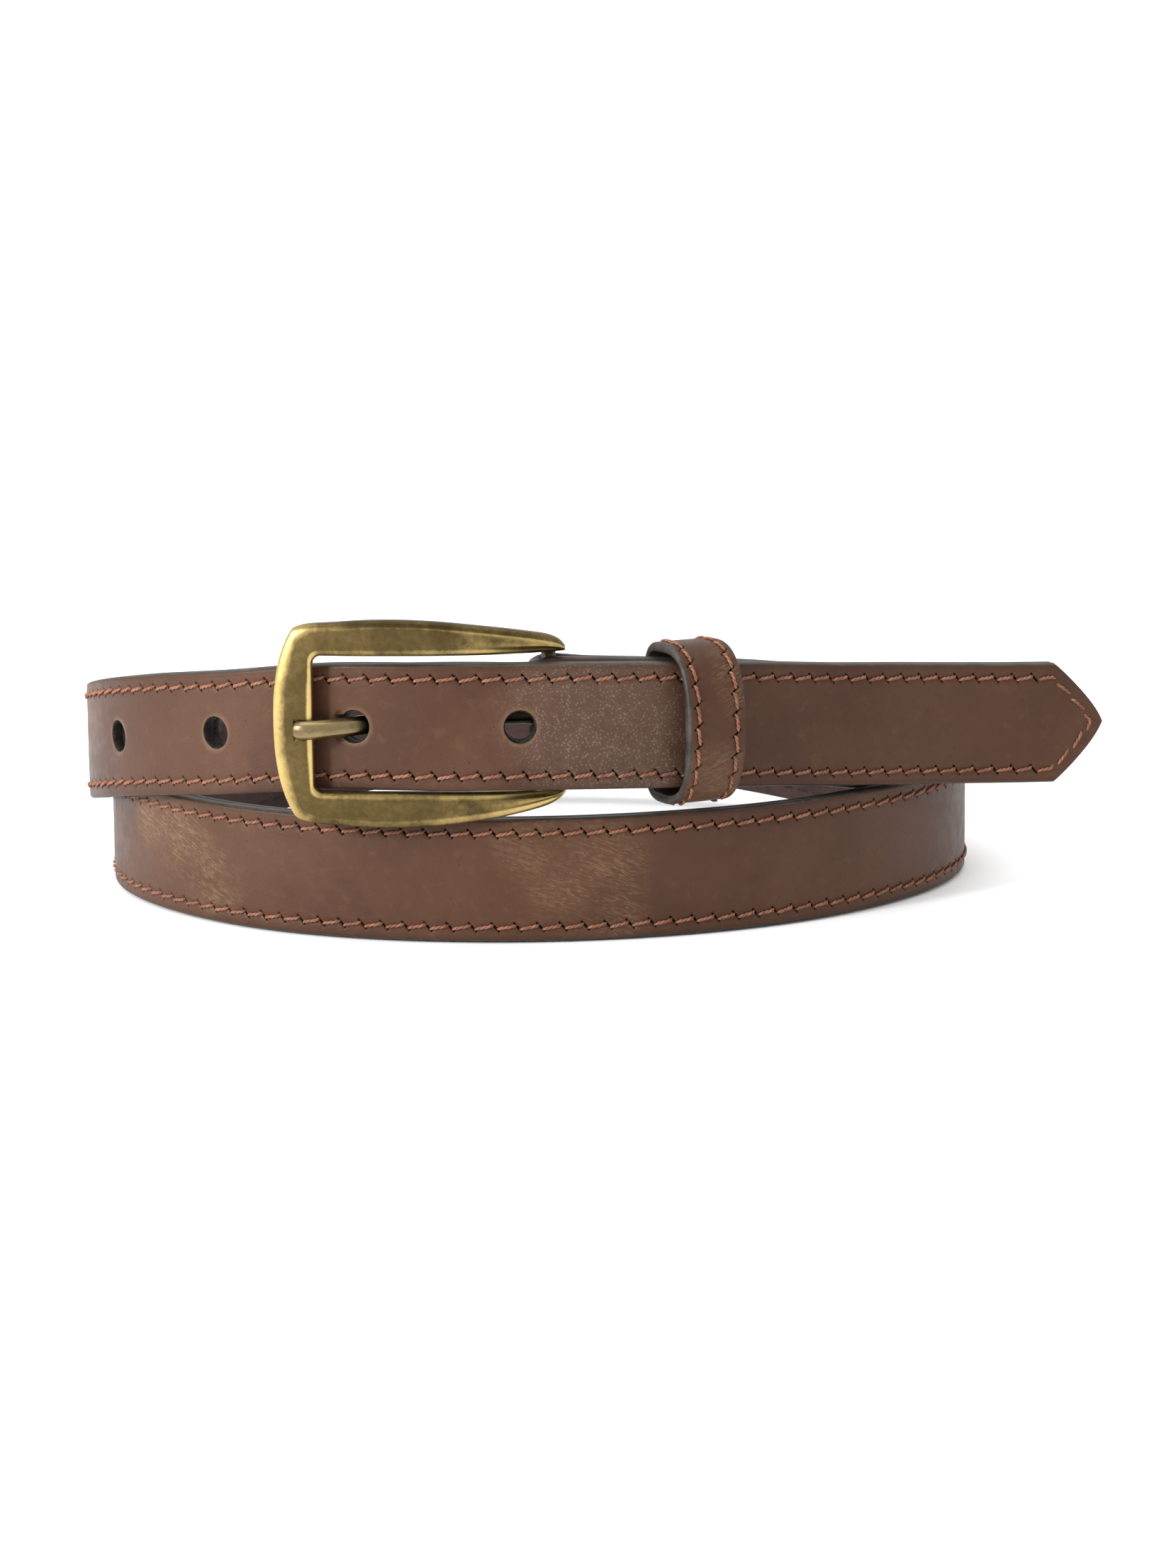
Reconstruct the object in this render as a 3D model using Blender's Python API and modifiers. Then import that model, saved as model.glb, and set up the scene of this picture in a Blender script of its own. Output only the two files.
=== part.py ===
"""Slim leather dress belt, buckled in its fourth hole and coiled in two turns that stand on edge.

Lengths are in millimetres and are turned into metres where a mesh is made. +Z is up, +X points
towards the free tip, and -Y is the front. The origin is on the surface under the belt's middle.
"""

import math

import bmesh
import bpy
import numpy as np
from mathutils import Matrix, Vector

MM = 0.001
GAP = 0.3  # between pieces that touch on the real belt

# Strap
STRAP_WIDTH = 19.05
FACE_THICKNESS = 1.6
LINING_THICKNESS = 1.3
STRAP_THICKNESS = FACE_THICKNESS + GAP + LINING_THICKNESS
EDGE_ROUNDING = 0.4
COLUMN_SPACING = 5.0

# Free tip and holes, measured back along the strap from the point of the tip
TIP_POINT_LENGTH = 8.6
TIP_POINT_POWER = 0.72
HOLE_COUNT = 5
HOLE_DIAMETER = 4.6
HOLE_PITCH = 25.6
BUCKLED_HOLE = 4  # counted from the hole furthest from the tip
BUCKLED_HOLE_TO_TIP = 129.3
KEEPER_TO_TIP = 74.2

# Buckle
BAR_RADIUS = 1.1
BAR_TO_CLOSED_SIDE = 41.75
FRAME_THICKNESS = 2.6
FRAME_BOW = (  # distance from the closed side, and how far the frame's middle is ahead of the bar
    (0.0, 3.5),
    (3.0, 4.2),
    (6.5, 4.8),
    (12.0, 5.7),
    (18.0, 6.2),
    (30.0, 6.3),
    (35.5, 5.4),
    (40.0, 3.8),
    (44.4, 1.8),
)
FRAME_EDGE = (  # the outer edge of its upper half: distance from the closed side, and height
    (0.0, 0.0),
    (0.08, 3.3),
    (0.38, 6.3),
    (0.95, 9.2),
    (1.8, 11.8),
    (2.6, 13.5),
    (3.25, 14.4),
    (4.3, 14.9),
    (8.5, 15.4),
    (12.6, 15.7),
    (17.0, 15.85),
    (21.5, 15.75),
    (26.0, 15.45),
    (30.5, 14.95),
    (35.0, 14.35),
    (39.5, 13.55),
    (42.4, 12.75),
    (43.7, 11.9),
)
FRAME_LEG_STATIONS = 7  # of those, the ones beside the left leg
FRAME_NOSE = (44.3, 11.1)
OPENING_HALF_HEIGHT = 10.4
INNER_SIDE = 6.2
INNER_CORNER_RADIUS = 1.3
FRAME_FRONT_ROUNDING = 1.0
FRAME_BACK_ROUNDING = 0.5
LUG_RADIUS = 2.3
LUG_HEIGHT = 1.8
BAR_HALF_LENGTH = 11.3
PRONG_WIDTH = 2.9
PRONG_THICKNESS = 1.6
PRONG_LIFT = 0.9  # its loop sits above the bar's middle
PRONG_TILT = 0.045  # and it falls towards its point
PRONG_LINE = (  # its middle in plan from the point to the bar, as offsets from the bar
    (-38.5, -6.2),
    (-35.7, -6.65),
    (-33.6, -5.95),
    (-30.0, -4.33),
    (-26.0, -2.72),
    (-21.5, -1.8),
    (-8.0, -2.05),
    (0.0, -2.2),
)
PRONG_RAMP = ((-23.0, -1.48), (-34.6, -6.2))  # its slant through the strap
PRONG_SWING_ROOM = 1.2

# Turn-back of the strap round the heel bar, and its two screw rivets
LAYER_STEP = STRAP_THICKNESS + 1.4  # from the free end's outer face to the buckle end's
FOLD_RADIUS = BAR_RADIUS + 0.4 + FACE_THICKNESS
TURN_BACK_LENGTH = 45.0
TURN_BACK_OFFSET = 2 * FACE_THICKNESS + GAP
CLOSING_LENGTH = 7.5
RIVET_DISTANCES = (12.0, 38.0)
RIVET_HEAD_RADIUS = 2.8
RIVET_HEAD_THICKNESS = 0.55
HEAD_GAP = 0.4
RIVET_BARREL_RADIUS = 1.8
RIVET_BORE_RADIUS = 1.2
RIVET_SCREW_RADIUS = 0.9

# Keeper loop
KEEPER_WIDTH = 10.0
KEEPER_FACE_THICKNESS = 0.8
KEEPER_LINING_THICKNESS = 0.55
KEEPER_LAYER_GAP = 0.25
KEEPER_HALF_HEIGHT = 10.85  # inside
KEEPER_FRONT = (7.0, 3.4)  # inside depth before the middle of what it holds, and squareness
KEEPER_BACK = (5.0, 8.0)  # the same behind the middle
KEEPER_BUTT_GAP = 0.4
STAPLE_WIRE_RADIUS = 0.35
STAPLE_HALF_SPAN = 3.0

# Route of the strap's outer face round the coil: angle in degrees about COIL_CENTRE, radius, and
# height of the lower edge. The strap starts at the heel bar, sinks to the surface through the
# first turn, lies flat across the front, and climbs through the second turn to the free tip.
COIL_CENTRE = (-7.95, -1.66)
BAR_ANGLE = -87.2
TIP_ANGLE = 708.3
ROUTE = (
    (-102, 59.0, 24.8),
    (-90, 57.2, 24.7),
    (-75, 55.2, 23.85),
    (-60, 54.3, 22.55),
    (-50, 55.1, 21.45),
    (-35, 59.3, 18.9),
    (-15, 63.8, 14.6),
    (10, 65.4, 10.6),
    (35, 64.2, 7.8),
    (60, 62.3, 6.2),
    (90, 61.6, 5.2),
    (120, 63.6, 3.6),
    (145, 67.6, 1.2),
    (165, 70.1, 0.0),
    (180, 70.9, 0.0),
    (195, 69.9, 0.0),
    (210, 67.3, 0.0),
    (225, 64.7, 0.0),
    (240, 61.9, 0.0),
    (255, 59.6, 0.0),
    (270, 58.4, 0.0),
    (285, 58.3, 0.0),
    (300, 59.5, 0.0),
    (315, 61.8, 0.0),
    (330, 64.9, 0.0),
    (345, 68.5, 0.0),
    (360, 70.9, 0.0),
    (375, 71.0, 0.0),
    (395, 69.3, 1.0),
    (420, 66.6, 3.2),
    (450, 65.6, 5.6),
    (480, 68.2, 6.8),
    (505, 72.8, 8.2),
    (520, 74.9, 9.4),
    (530, 75.4, 10.6),
    (540, 74.9, 12.6),
    (555, 73.55, 16.1),
    (570, 70.8, 19.3),
    (585, 67.5, 21.6),
    (600, 65.3, 23.75),
    (615, 63.7, 24.3),
    (630, 61.8, 24.3),
    (645, 59.8, 23.7),
    (660, 58.9, 22.6),
    (670, 59.7, 21.7),
    (680, 62.3, 20.6),
    (690, 67.5, 19.6),
    (700, 77.0, 18.3),
    (709, 94.6, 17.2),
)

COLOURS = {
    "leather": ((0.13, 0.062, 0.04), 0.55, 0.0),
    "lining": ((0.05, 0.03, 0.03), 0.7, 0.0),
    "brass": ((0.42, 0.32, 0.12), 0.35, 1.0),
    "steel": ((0.45, 0.44, 0.42), 0.35, 1.0),
}


# ---------------------------------------------------------------- helpers


def clear_scene():
    for obj in list(bpy.data.objects):
        bpy.data.objects.remove(obj, do_unlink=True)


def new_collection(name):
    collection = bpy.data.collections.new(name)
    bpy.context.scene.collection.children.link(collection)
    return collection


def make_materials():
    made = {}
    for name, (colour, roughness, metallic) in COLOURS.items():
        material = bpy.data.materials.new(name)
        material.use_nodes = True
        shader = material.node_tree.nodes["Principled BSDF"]
        shader.inputs["Base Color"].default_value = (*colour, 1.0)
        shader.inputs["Roughness"].default_value = roughness
        shader.inputs["Metallic"].default_value = metallic
        made[name] = material
    return made


def add_object(name, mesh, collection, material=None):
    obj = bpy.data.objects.new(name, mesh)
    collection.objects.link(obj)
    if material is not None:
        mesh.materials.append(material)
        mesh.shade_smooth()
        mesh.set_sharp_from_angle(angle=math.radians(35))
    return obj


def add_cutter(name, mesh):
    obj = add_object(name, mesh, cutters)
    obj.hide_render = True
    obj.display_type = "WIRE"
    return obj


def mesh_from(bm, name):
    bmesh.ops.recalc_face_normals(bm, faces=bm.faces)
    mesh = bpy.data.meshes.new(name)
    bm.to_mesh(mesh)
    bm.free()
    return mesh


def bevel(obj, width, segments=1, angle=50):
    modifier = obj.modifiers.new("Rounded edges", "BEVEL")
    modifier.width = width * MM
    modifier.segments = segments
    modifier.limit_method = "ANGLE"
    modifier.angle_limit = math.radians(angle)
    return modifier


def cut(obj, cutter, operation="DIFFERENCE"):
    modifier = obj.modifiers.new(f"{operation} {cutter.name}", "BOOLEAN")
    modifier.operation = operation
    modifier.object = cutter


def set_origin(obj, place):
    """Moves the object's origin to a place in millimetres and leaves its shape where it is."""
    obj.data.transform(Matrix.Translation(Vector(place) * -MM))
    obj.location = Vector(place) * MM


def cylinder_mesh(name, radius, depth, segments=20):
    bm = bmesh.new()
    bmesh.ops.create_cone(
        bm,
        cap_ends=True,
        segments=segments,
        radius1=radius * MM,
        radius2=radius * MM,
        depth=depth * MM,
    )
    return mesh_from(bm, name)


def box_mesh(name, low, high):
    """A box between two corners, in millimetres, in the object's own axes."""
    bm = bmesh.new()
    bmesh.ops.create_cube(bm, size=1.0)
    size = [h - l for l, h in zip(low, high)]
    middle = [(h + l) / 2 for l, h in zip(low, high)]
    bmesh.ops.scale(bm, vec=Vector(size) * MM, verts=bm.verts)
    bmesh.ops.translate(bm, vec=Vector(middle) * MM, verts=bm.verts)
    return mesh_from(bm, name)


def axes_matrix(place, out, along):
    """A matrix whose +Z points out of the strap, +X runs along it, and whose origin is at place."""
    z = Vector(out).normalized()
    x = Vector(along).normalized()
    y = z.cross(x)
    matrix = Matrix((x, y, z)).transposed().to_4x4()
    matrix.translation = Vector(place) * MM
    return matrix


# ---------------------------------------------------------------- route of the strap


def natural_spline(knots, values, where):
    """Natural cubic spline through the knots, evaluated at every position in where."""
    knots = np.asarray(knots, float)
    values = np.asarray(values, float)
    steps = np.diff(knots)
    slopes = np.diff(values) / steps
    system = np.eye(len(knots))
    right = np.zeros(len(knots))
    for i in range(1, len(knots) - 1):
        system[i, i - 1 : i + 2] = steps[i - 1], 2 * (steps[i - 1] + steps[i]), steps[i]
        right[i] = 6 * (slopes[i] - slopes[i - 1])
    bend = np.linalg.solve(system, right)
    i = np.clip(np.searchsorted(knots, where) - 1, 0, len(steps) - 1)
    t = where - knots[i]
    h = steps[i]
    linear = slopes[i] - h * (2 * bend[i] + bend[i + 1]) / 6
    return values[i] + t * linear + t**2 * bend[i] / 2 + t**3 * (bend[i + 1] - bend[i]) / (6 * h)


class Route:
    """The strap's outer face, by distance along the strap from the heel bar."""

    def __init__(self):
        angle_knots, radii, heights = zip(*ROUTE)
        angles = np.linspace(BAR_ANGLE, TIP_ANGLE, 6000)
        radius = natural_spline(angle_knots, radii, angles)
        height = np.maximum(natural_spline(angle_knots, heights, angles), 0.0)
        turn = np.radians(angles)
        x = COIL_CENTRE[0] + radius * np.cos(turn)
        y = COIL_CENTRE[1] + radius * np.sin(turn)
        self.points = np.column_stack((x, y, height))
        lengths = np.linalg.norm(np.diff(self.points, axis=0), axis=1)
        self.distances = np.concatenate(([0.0], np.cumsum(lengths)))
        self.length = self.distances[-1]
        headings = np.unwrap(np.arctan2(np.gradient(y), np.gradient(x)))
        self.headings = headings

    def at(self, distance):
        """Place of the lower edge, direction of travel, and direction inwards, both level."""
        place = [np.interp(distance, self.distances, self.points[:, i]) for i in range(3)]
        heading = np.interp(distance, self.distances, self.headings)
        along = np.array((math.cos(heading), math.sin(heading), 0.0))
        inwards = np.array((-along[1], along[0], 0.0))
        return np.array(place), along, inwards

    def middle(self, distance, depth=0.0):
        """Middle of the strap's width, depth inwards from the outer face."""
        place, _, inwards = self.at(distance)
        return place + inwards * depth + np.array((0.0, 0.0, STRAP_WIDTH / 2))


def columns(start, end):
    """Distances along the strap from start to end, evenly spaced."""
    count = max(2, round((end - start) / COLUMN_SPACING) + 1)
    return list(np.linspace(start, end, count))


def tip_columns():
    """Distances of the columns that shape the point of the tip, closer together towards its end."""
    steps = (8.6, 7.0, 5.2, 3.6, 2.2, 1.1, 0.4, 0.1)
    return [route.length - step for step in steps]


def half_width(distance):
    """Half the strap's width, which narrows to a rounded point over the last few millimetres."""
    left = route.length - distance
    if left >= TIP_POINT_LENGTH:
        return STRAP_WIDTH / 2
    return STRAP_WIDTH / 2 * (left / TIP_POINT_LENGTH) ** TIP_POINT_POWER


def strip_object(name, columns_of_points, thickness, material, collection):
    """A sheet of two rows through the given columns, thickened towards its left-hand side.

    columns_of_points holds (lower point, upper point) pairs in millimetres.
    """
    bm = bmesh.new()
    count = len(columns_of_points)
    bmesh.ops.create_grid(bm, x_segments=count - 1, y_segments=1, size=1.0)
    bm.verts.ensure_lookup_table()
    ordered = sorted(bm.verts, key=lambda v: (round(v.co.x, 6), v.co.y))
    for i, pair in enumerate(columns_of_points):
        for row in (0, 1):
            ordered[2 * i + row].co = Vector(pair[row]) * MM
    mesh = bpy.data.meshes.new(name)
    bm.to_mesh(mesh)
    bm.free()
    obj = add_object(name, mesh, collection, material)
    solidify = obj.modifiers.new("Thickness", "SOLIDIFY")
    solidify.thickness = thickness * MM
    solidify.offset = -1.0
    solidify.use_even_offset = True
    return obj


def strap_column(distance, depth):
    place, _, inwards = route.at(distance)
    half = half_width(distance)
    middle = place + inwards * depth + np.array((0.0, 0.0, STRAP_WIDTH / 2))
    rise = np.array((0.0, 0.0, half))
    return middle - rise, middle + rise


def fold_columns():
    """The turn-back and the bend round the heel bar, from the free end of the turn-back."""
    made = []
    for distance in reversed(columns(0.0, TURN_BACK_LENGTH)):
        closing = min(distance / CLOSING_LENGTH, 1.0)
        ease = closing * closing * (3 - 2 * closing)
        depth = 2 * FOLD_RADIUS + (TURN_BACK_OFFSET - 2 * FOLD_RADIUS) * ease
        made.append(strap_column(distance, depth))
    low, along, inwards = route.at(0.0)
    centre = low + inwards * FOLD_RADIUS
    for step in range(1, 12):
        angle = math.pi * step / 12
        reach = inwards * math.cos(angle) - along * math.sin(angle)
        low_point = centre + reach * FOLD_RADIUS
        made.append((low_point, low_point + np.array((0.0, 0.0, STRAP_WIDTH))))
    return made


# ---------------------------------------------------------------- strap


def hole_distances():
    first = route.length - BUCKLED_HOLE_TO_TIP - (BUCKLED_HOLE - 1) * HOLE_PITCH
    return [first + i * HOLE_PITCH for i in range(HOLE_COUNT)]


def make_hole_cutter():
    """The round holes of the free end, and the slant that the prong pulls in the buckled one."""
    made = []
    for number, distance in enumerate(hole_distances(), start=1):
        _, along, inwards = route.at(distance)
        place = route.middle(distance, STRAP_THICKNESS / 2)
        mesh = cylinder_mesh(f"hole_{number}", HOLE_DIAMETER / 2, STRAP_THICKNESS + 2)
        cutter = add_cutter(f"hole_{number}", mesh)
        cutter.matrix_world = axes_matrix(place, -inwards, along)
        made.append(cutter)
    made.append(make_slant_cutter())
    return made


def make_slant_cutter():
    """A slanted slot along the prong, with room for its swing towards the front."""
    half = PRONG_WIDTH / 2 + GAP
    start, end = (prong_centre(-x) + np.array((0.0, y, 0.0)) for x, y in PRONG_RAMP)
    slope = end - start
    behind = -PRONG_THICKNESS / 2 - GAP - 0.15
    ahead = PRONG_THICKNESS / 2 + PRONG_SWING_ROOM
    mesh = box_mesh("slant", (0.0, behind, -half), (np.linalg.norm(slope), ahead, half))
    cutter = add_cutter("prong_slant", mesh)
    cutter.matrix_world = axes_matrix(start, (0, 0, 1), slope)
    return cutter


def make_strap():
    hole_cutters = make_hole_cutter()
    end = route.length - TIP_POINT_LENGTH
    front = columns(COLUMN_SPACING / 2, end)[:-1] + tip_columns()
    points = fold_columns() + [strap_column(0.0, 0.0)] + [strap_column(d, 0.0) for d in front]
    face = strip_object("strap_face", points, FACE_THICKNESS, materials["leather"], parts)
    bevel(face, EDGE_ROUNDING)
    start = TURN_BACK_LENGTH + 1.0
    depth = FACE_THICKNESS + GAP
    lined = [d for d in front if d > start]
    points = [strap_column(d, depth) for d in lined]
    lining = strip_object("strap_lining", points, LINING_THICKNESS, materials["lining"], parts)
    for cutter in hole_cutters:
        cut(face, cutter)
        cut(lining, cutter)
    cut(face, make_prong_slot())
    for number, distance in enumerate(RIVET_DISTANCES, start=1):
        _, along, inwards = route.at(distance)
        place = route.middle(distance, TURN_BACK_OFFSET / 2)
        mesh = cylinder_mesh("rivet_hole", RIVET_BARREL_RADIUS + GAP, TURN_BACK_OFFSET + 2)
        cutter = add_cutter(f"rivet_hole_{number}", mesh)
        cutter.matrix_world = axes_matrix(place, -inwards, along)
        cut(face, cutter)


def make_prong_slot():
    """The slot through the fold that the prong swings in."""
    half = PRONG_WIDTH / 2 + GAP
    reach = FOLD_RADIUS + 0.7
    mesh = box_mesh("slot", (-reach, -reach, -half), (reach + 0.5, reach, half))
    cutter = add_cutter("prong_slot", mesh)
    _, along, _ = route.at(0.0)
    cutter.matrix_world = axes_matrix(prong_centre(), (0, 0, 1), along)
    return cutter


# ---------------------------------------------------------------- buckle


def bar_centre():
    return route.middle(0.0, FOLD_RADIUS)


def prong_centre(ahead=0.0):
    """The middle of the prong's height, at the bar or some way ahead of it."""
    return bar_centre() + np.array((-ahead, 0.0, PRONG_LIFT - PRONG_TILT * ahead))


def frame_outline():
    """Pairs of (inner, outer) points of the frame's upper half, from its closed side to the arm's
    end. Each point is (distance from the closed side, height above the middle)."""
    leg = FRAME_EDGE[:FRAME_LEG_STATIONS]
    corner_height = OPENING_HALF_HEIGHT - INNER_CORNER_RADIUS
    pairs = []
    for i, outer in enumerate(leg[:-2]):
        pairs.append(((INNER_SIDE, corner_height * i / (len(leg) - 2)), outer))
    corner = (INNER_SIDE + INNER_CORNER_RADIUS, corner_height)
    around = (*leg[-2:], *FRAME_EDGE[FRAME_LEG_STATIONS : FRAME_LEG_STATIONS + 2])
    for outer, turn in zip(around, np.radians(np.linspace(180, 90, len(around)))):
        reach = np.array((math.cos(turn), math.sin(turn))) * INNER_CORNER_RADIUS
        pairs.append((tuple(np.array(corner) + reach), outer))
    for outer in FRAME_EDGE[FRAME_LEG_STATIONS + 2 :]:
        pairs.append(((outer[0], OPENING_HALF_HEIGHT), outer))
    pairs.append(((FRAME_NOSE[0], OPENING_HALF_HEIGHT + 0.2), FRAME_NOSE))
    return pairs


def frame_section(inner, outer, last):
    """Ring of (u, v, front) points round the frame's section between two outline points."""
    inner, outer = np.array(inner), np.array(outer)
    width = np.linalg.norm(outer - inner)
    across = (outer - inner) / width
    half = FRAME_THICKNESS / 2 - (0.5 if last else 0.0)
    front = min(FRAME_FRONT_ROUNDING, width * 0.35, half * 0.8)
    back = min(FRAME_BACK_ROUNDING, width * 0.25)
    profile = (
        (0.0, -half + back),
        (0.0, half - front),
        (0.3 * front, half - 0.3 * front),
        (front, half),
        (width - front, half),
        (width - 0.3 * front, half - 0.3 * front),
        (width, half - front),
        (width, -half + back),
        (width - back, -half),
        (back, -half),
    )
    return [(*(inner + across * a), depth) for a, depth in profile]


def loft_mesh(name, rings):
    """A closed mesh through rings of equal length, capped at both ends."""
    bm = bmesh.new()
    made = [[bm.verts.new(Vector(point) * MM) for point in ring] for ring in rings]
    for first, second in zip(made, made[1:]):
        for i in range(len(first)):
            j = (i + 1) % len(first)
            bm.faces.new((first[i], first[j], second[j], second[i]))
    bm.faces.new(list(reversed(made[0])))
    bm.faces.new(made[-1])
    return mesh_from(bm, name)


def make_buckle():
    """The bowed frame with its two lugs, and the heel bar between them."""
    outline = frame_outline()
    upper = [frame_section(*pair, last=False) for pair in outline[:-1]]
    upper.append(frame_section(*outline[-1], last=True))
    lower = [[(u, -v, front) for u, v, front in ring] for ring in upper[:0:-1]]
    centre = bar_centre()
    closed_side = centre[0] - BAR_TO_CLOSED_SIDE
    placed = [
        [(closed_side + u, centre[1] - frame_bow(u) - front, centre[2] + v) for u, v, front in ring]
        for ring in lower + upper
    ]
    mesh = loft_mesh("buckle_frame", placed)
    frame = add_object("buckle_frame", mesh, parts, materials["brass"])
    set_origin(frame, centre)
    for side in (1, -1):
        height = side * (OPENING_HALF_HEIGHT + LUG_HEIGHT / 2)
        lug = add_cutter(f"lug_{'upper' if side > 0 else 'lower'}", lug_mesh())
        lug.location = Vector(centre + np.array((0.0, 0.0, height))) * MM
        cut(frame, lug, "UNION")
    socket = cylinder_mesh("bar_socket", BAR_RADIUS + GAP, 2 * (BAR_HALF_LENGTH + GAP), 16)
    socket_cutter = add_cutter("bar_socket", socket)
    socket_cutter.location = Vector(centre) * MM
    cut(frame, socket_cutter)
    bar_mesh = cylinder_mesh("heel_bar", BAR_RADIUS, 2 * BAR_HALF_LENGTH, 16)
    bar = add_object("heel_bar", bar_mesh, parts, materials["steel"])
    bar.location = Vector(centre) * MM


def frame_bow(u):
    """How far the frame's middle is ahead of the heel bar, at a distance from its closed side."""
    knots, values = zip(*FRAME_BOW)
    return float(natural_spline(knots, values, np.array([u]))[0])


def lug_mesh():
    """A lug of round plan about the bar, reaching forward into the arm."""
    points = []
    for turn in np.radians(np.linspace(0, 180, 9)):
        points.append((LUG_RADIUS * math.cos(turn), LUG_RADIUS * math.sin(turn)))
    ahead = -frame_bow(BAR_TO_CLOSED_SIDE)
    points.append((-LUG_RADIUS, ahead))
    points.append((LUG_RADIUS - 0.8, ahead))
    rings = [[(x, y, z) for x, y in points] for z in (-LUG_HEIGHT / 2, LUG_HEIGHT / 2)]
    return loft_mesh("lug", rings)


def prong_line():
    """Middle of the prong in plan, from its point to the end of its loop round the bar."""
    centre = prong_centre()[:2]
    knots = [centre + np.array(offset) for offset in PRONG_LINE]
    steps = np.cumsum([0.0] + [np.linalg.norm(b - a) for a, b in zip(knots, knots[1:])])
    where = np.linspace(0.0, steps[-1], 22)
    x = natural_spline(steps, [k[0] for k in knots], where)
    y = natural_spline(steps, [k[1] for k in knots], where)
    line = [np.array(point) for point in zip(x, y)]
    loop = BAR_RADIUS + GAP + PRONG_THICKNESS / 2
    for turn in np.radians(np.arange(-70, 191, 20)):
        line.append(centre + loop * np.array((math.cos(turn), math.sin(turn))))
    return line


def shifted(line, shift):
    """The line moved sideways, to the left of its direction."""
    moved = []
    for i, point in enumerate(line):
        ahead = line[min(i + 1, len(line) - 1)] - line[max(i - 1, 0)]
        moved.append(point + np.array((-ahead[1], ahead[0])) / np.linalg.norm(ahead) * shift)
    return moved


def prong_mesh(line, front, back, half_width_):
    """A bar of oblong section along the line, from front before it to back behind it."""
    outline = shifted(line, back) + shifted(line, -front)[::-1]
    rings = []
    for side in (-1, 1):
        heights = [prong_centre(prong_centre()[0] - x)[2] + side * half_width_ for x, _ in outline]
        rings.append([(*point, z) for point, z in zip(outline, heights)])
    return loft_mesh("prong", rings)


def make_prong():
    line = prong_line()
    half = PRONG_THICKNESS / 2
    mesh = prong_mesh(line, half, half, PRONG_WIDTH / 2)
    prong = add_object("prong", mesh, parts, materials["brass"])
    set_origin(prong, prong_centre())
    bevel(prong, 0.35)
    beyond = line[0] + (line[0] - line[1]) / np.linalg.norm(line[0] - line[1]) * 0.5
    seat = prong_mesh([beyond, *line[1:5]], 3.0, half + GAP, PRONG_WIDTH / 2 + GAP)
    cut(bpy.data.objects["buckle_frame"], add_cutter("prong_seat", seat))


# ---------------------------------------------------------------- rivets


def turned_object(name, profile, matrix, material):
    """A turned piece about its own Z, from (radius, height) points down its outer side."""
    mesh = bpy.data.meshes.new(name)
    points = [(radius * MM, 0.0, height * MM) for radius, height in profile]
    mesh.from_pydata(points, [(i, i + 1) for i in range(len(points) - 1)], [])
    obj = add_object(name, mesh, parts)
    mesh.materials.append(material)
    screw = obj.modifiers.new("Turned", "SCREW")
    screw.axis = "Z"
    screw.steps = 16
    screw.render_steps = 16
    screw.use_merge_vertices = True
    screw.merge_threshold = 0.00001
    screw.use_smooth_shade = True
    obj.matrix_world = matrix
    return obj


def make_rivets():
    """Two screw rivets that hold the turn-back, each a tubular post and a screw."""
    stack = TURN_BACK_OFFSET
    dome = 0.25
    for number, distance in enumerate(RIVET_DISTANCES, start=1):
        _, along, inwards = route.at(distance)
        outer_face = route.middle(distance)
        outwards = axes_matrix(outer_face, -inwards, along)
        top = HEAD_GAP + RIVET_HEAD_THICKNESS
        screw_profile = (
            (0.0, top),
            (RIVET_HEAD_RADIUS * 0.7, top),
            (RIVET_HEAD_RADIUS, top - dome),
            (RIVET_HEAD_RADIUS, HEAD_GAP),
            (RIVET_SCREW_RADIUS, HEAD_GAP),
            (RIVET_SCREW_RADIUS, GAP - stack + 0.6),
            (0.0, GAP - stack + 0.6),
        )
        turned_object(f"rivet_screw_{number}", screw_profile, outwards, materials["brass"])
        floor = -stack - HEAD_GAP
        post_profile = (
            (0.0, floor),
            (RIVET_BORE_RADIUS, floor),
            (RIVET_BORE_RADIUS, 0.0),
            (RIVET_BARREL_RADIUS, 0.0),
            (RIVET_BARREL_RADIUS, floor),
            (RIVET_HEAD_RADIUS, floor),
            (RIVET_HEAD_RADIUS, floor - RIVET_HEAD_THICKNESS + dome),
            (RIVET_HEAD_RADIUS * 0.7, floor - RIVET_HEAD_THICKNESS),
            (0.0, floor - RIVET_HEAD_THICKNESS),
        )
        turned_object(f"rivet_post_{number}", post_profile, outwards, materials["brass"])


# ---------------------------------------------------------------- keeper


def keeper_axes():
    """Middle of the keeper, and its directions along the strap, inwards and upwards."""
    distance = route.length - KEEPER_TO_TIP
    depth = (LAYER_STEP + TURN_BACK_OFFSET) / 2
    _, along, inwards = route.at(distance)
    return route.middle(distance, depth), along, inwards, np.array((0.0, 0.0, 1.0))


def keeper_ring(depth_out, count=40):
    """Points of the keeper's section, depth_out outside its inner surface, open at the butt
    joint. Each point is (inwards, up)."""
    high = KEEPER_HALF_HEIGHT + depth_out
    open_angle = math.asin(KEEPER_BUTT_GAP / 2 / high)
    ring = []
    for turn in np.linspace(open_angle, 2 * math.pi - open_angle, count + 1):
        deep, squareness = KEEPER_BACK if math.cos(turn) > 0 else KEEPER_FRONT
        deep += depth_out
        across = abs(math.cos(turn) / deep) ** squareness
        upright = abs(math.sin(turn) / high) ** squareness
        scale = (across + upright) ** (-1 / squareness)
        ring.append((math.cos(turn) * scale, math.sin(turn) * scale))
    return ring


def keeper_layer(name, depth_out, thickness, material):
    centre, along, inwards, up = keeper_axes()
    pairs = []
    for reach, height in keeper_ring(depth_out):
        place = centre + inwards * reach + up * height
        side = along * KEEPER_WIDTH / 2
        pairs.append((place - side, place + side))
    layer = strip_object(name, pairs, thickness, material, parts)
    layer.modifiers["Thickness"].offset = 1.0
    set_origin(layer, centre)
    return layer


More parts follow.
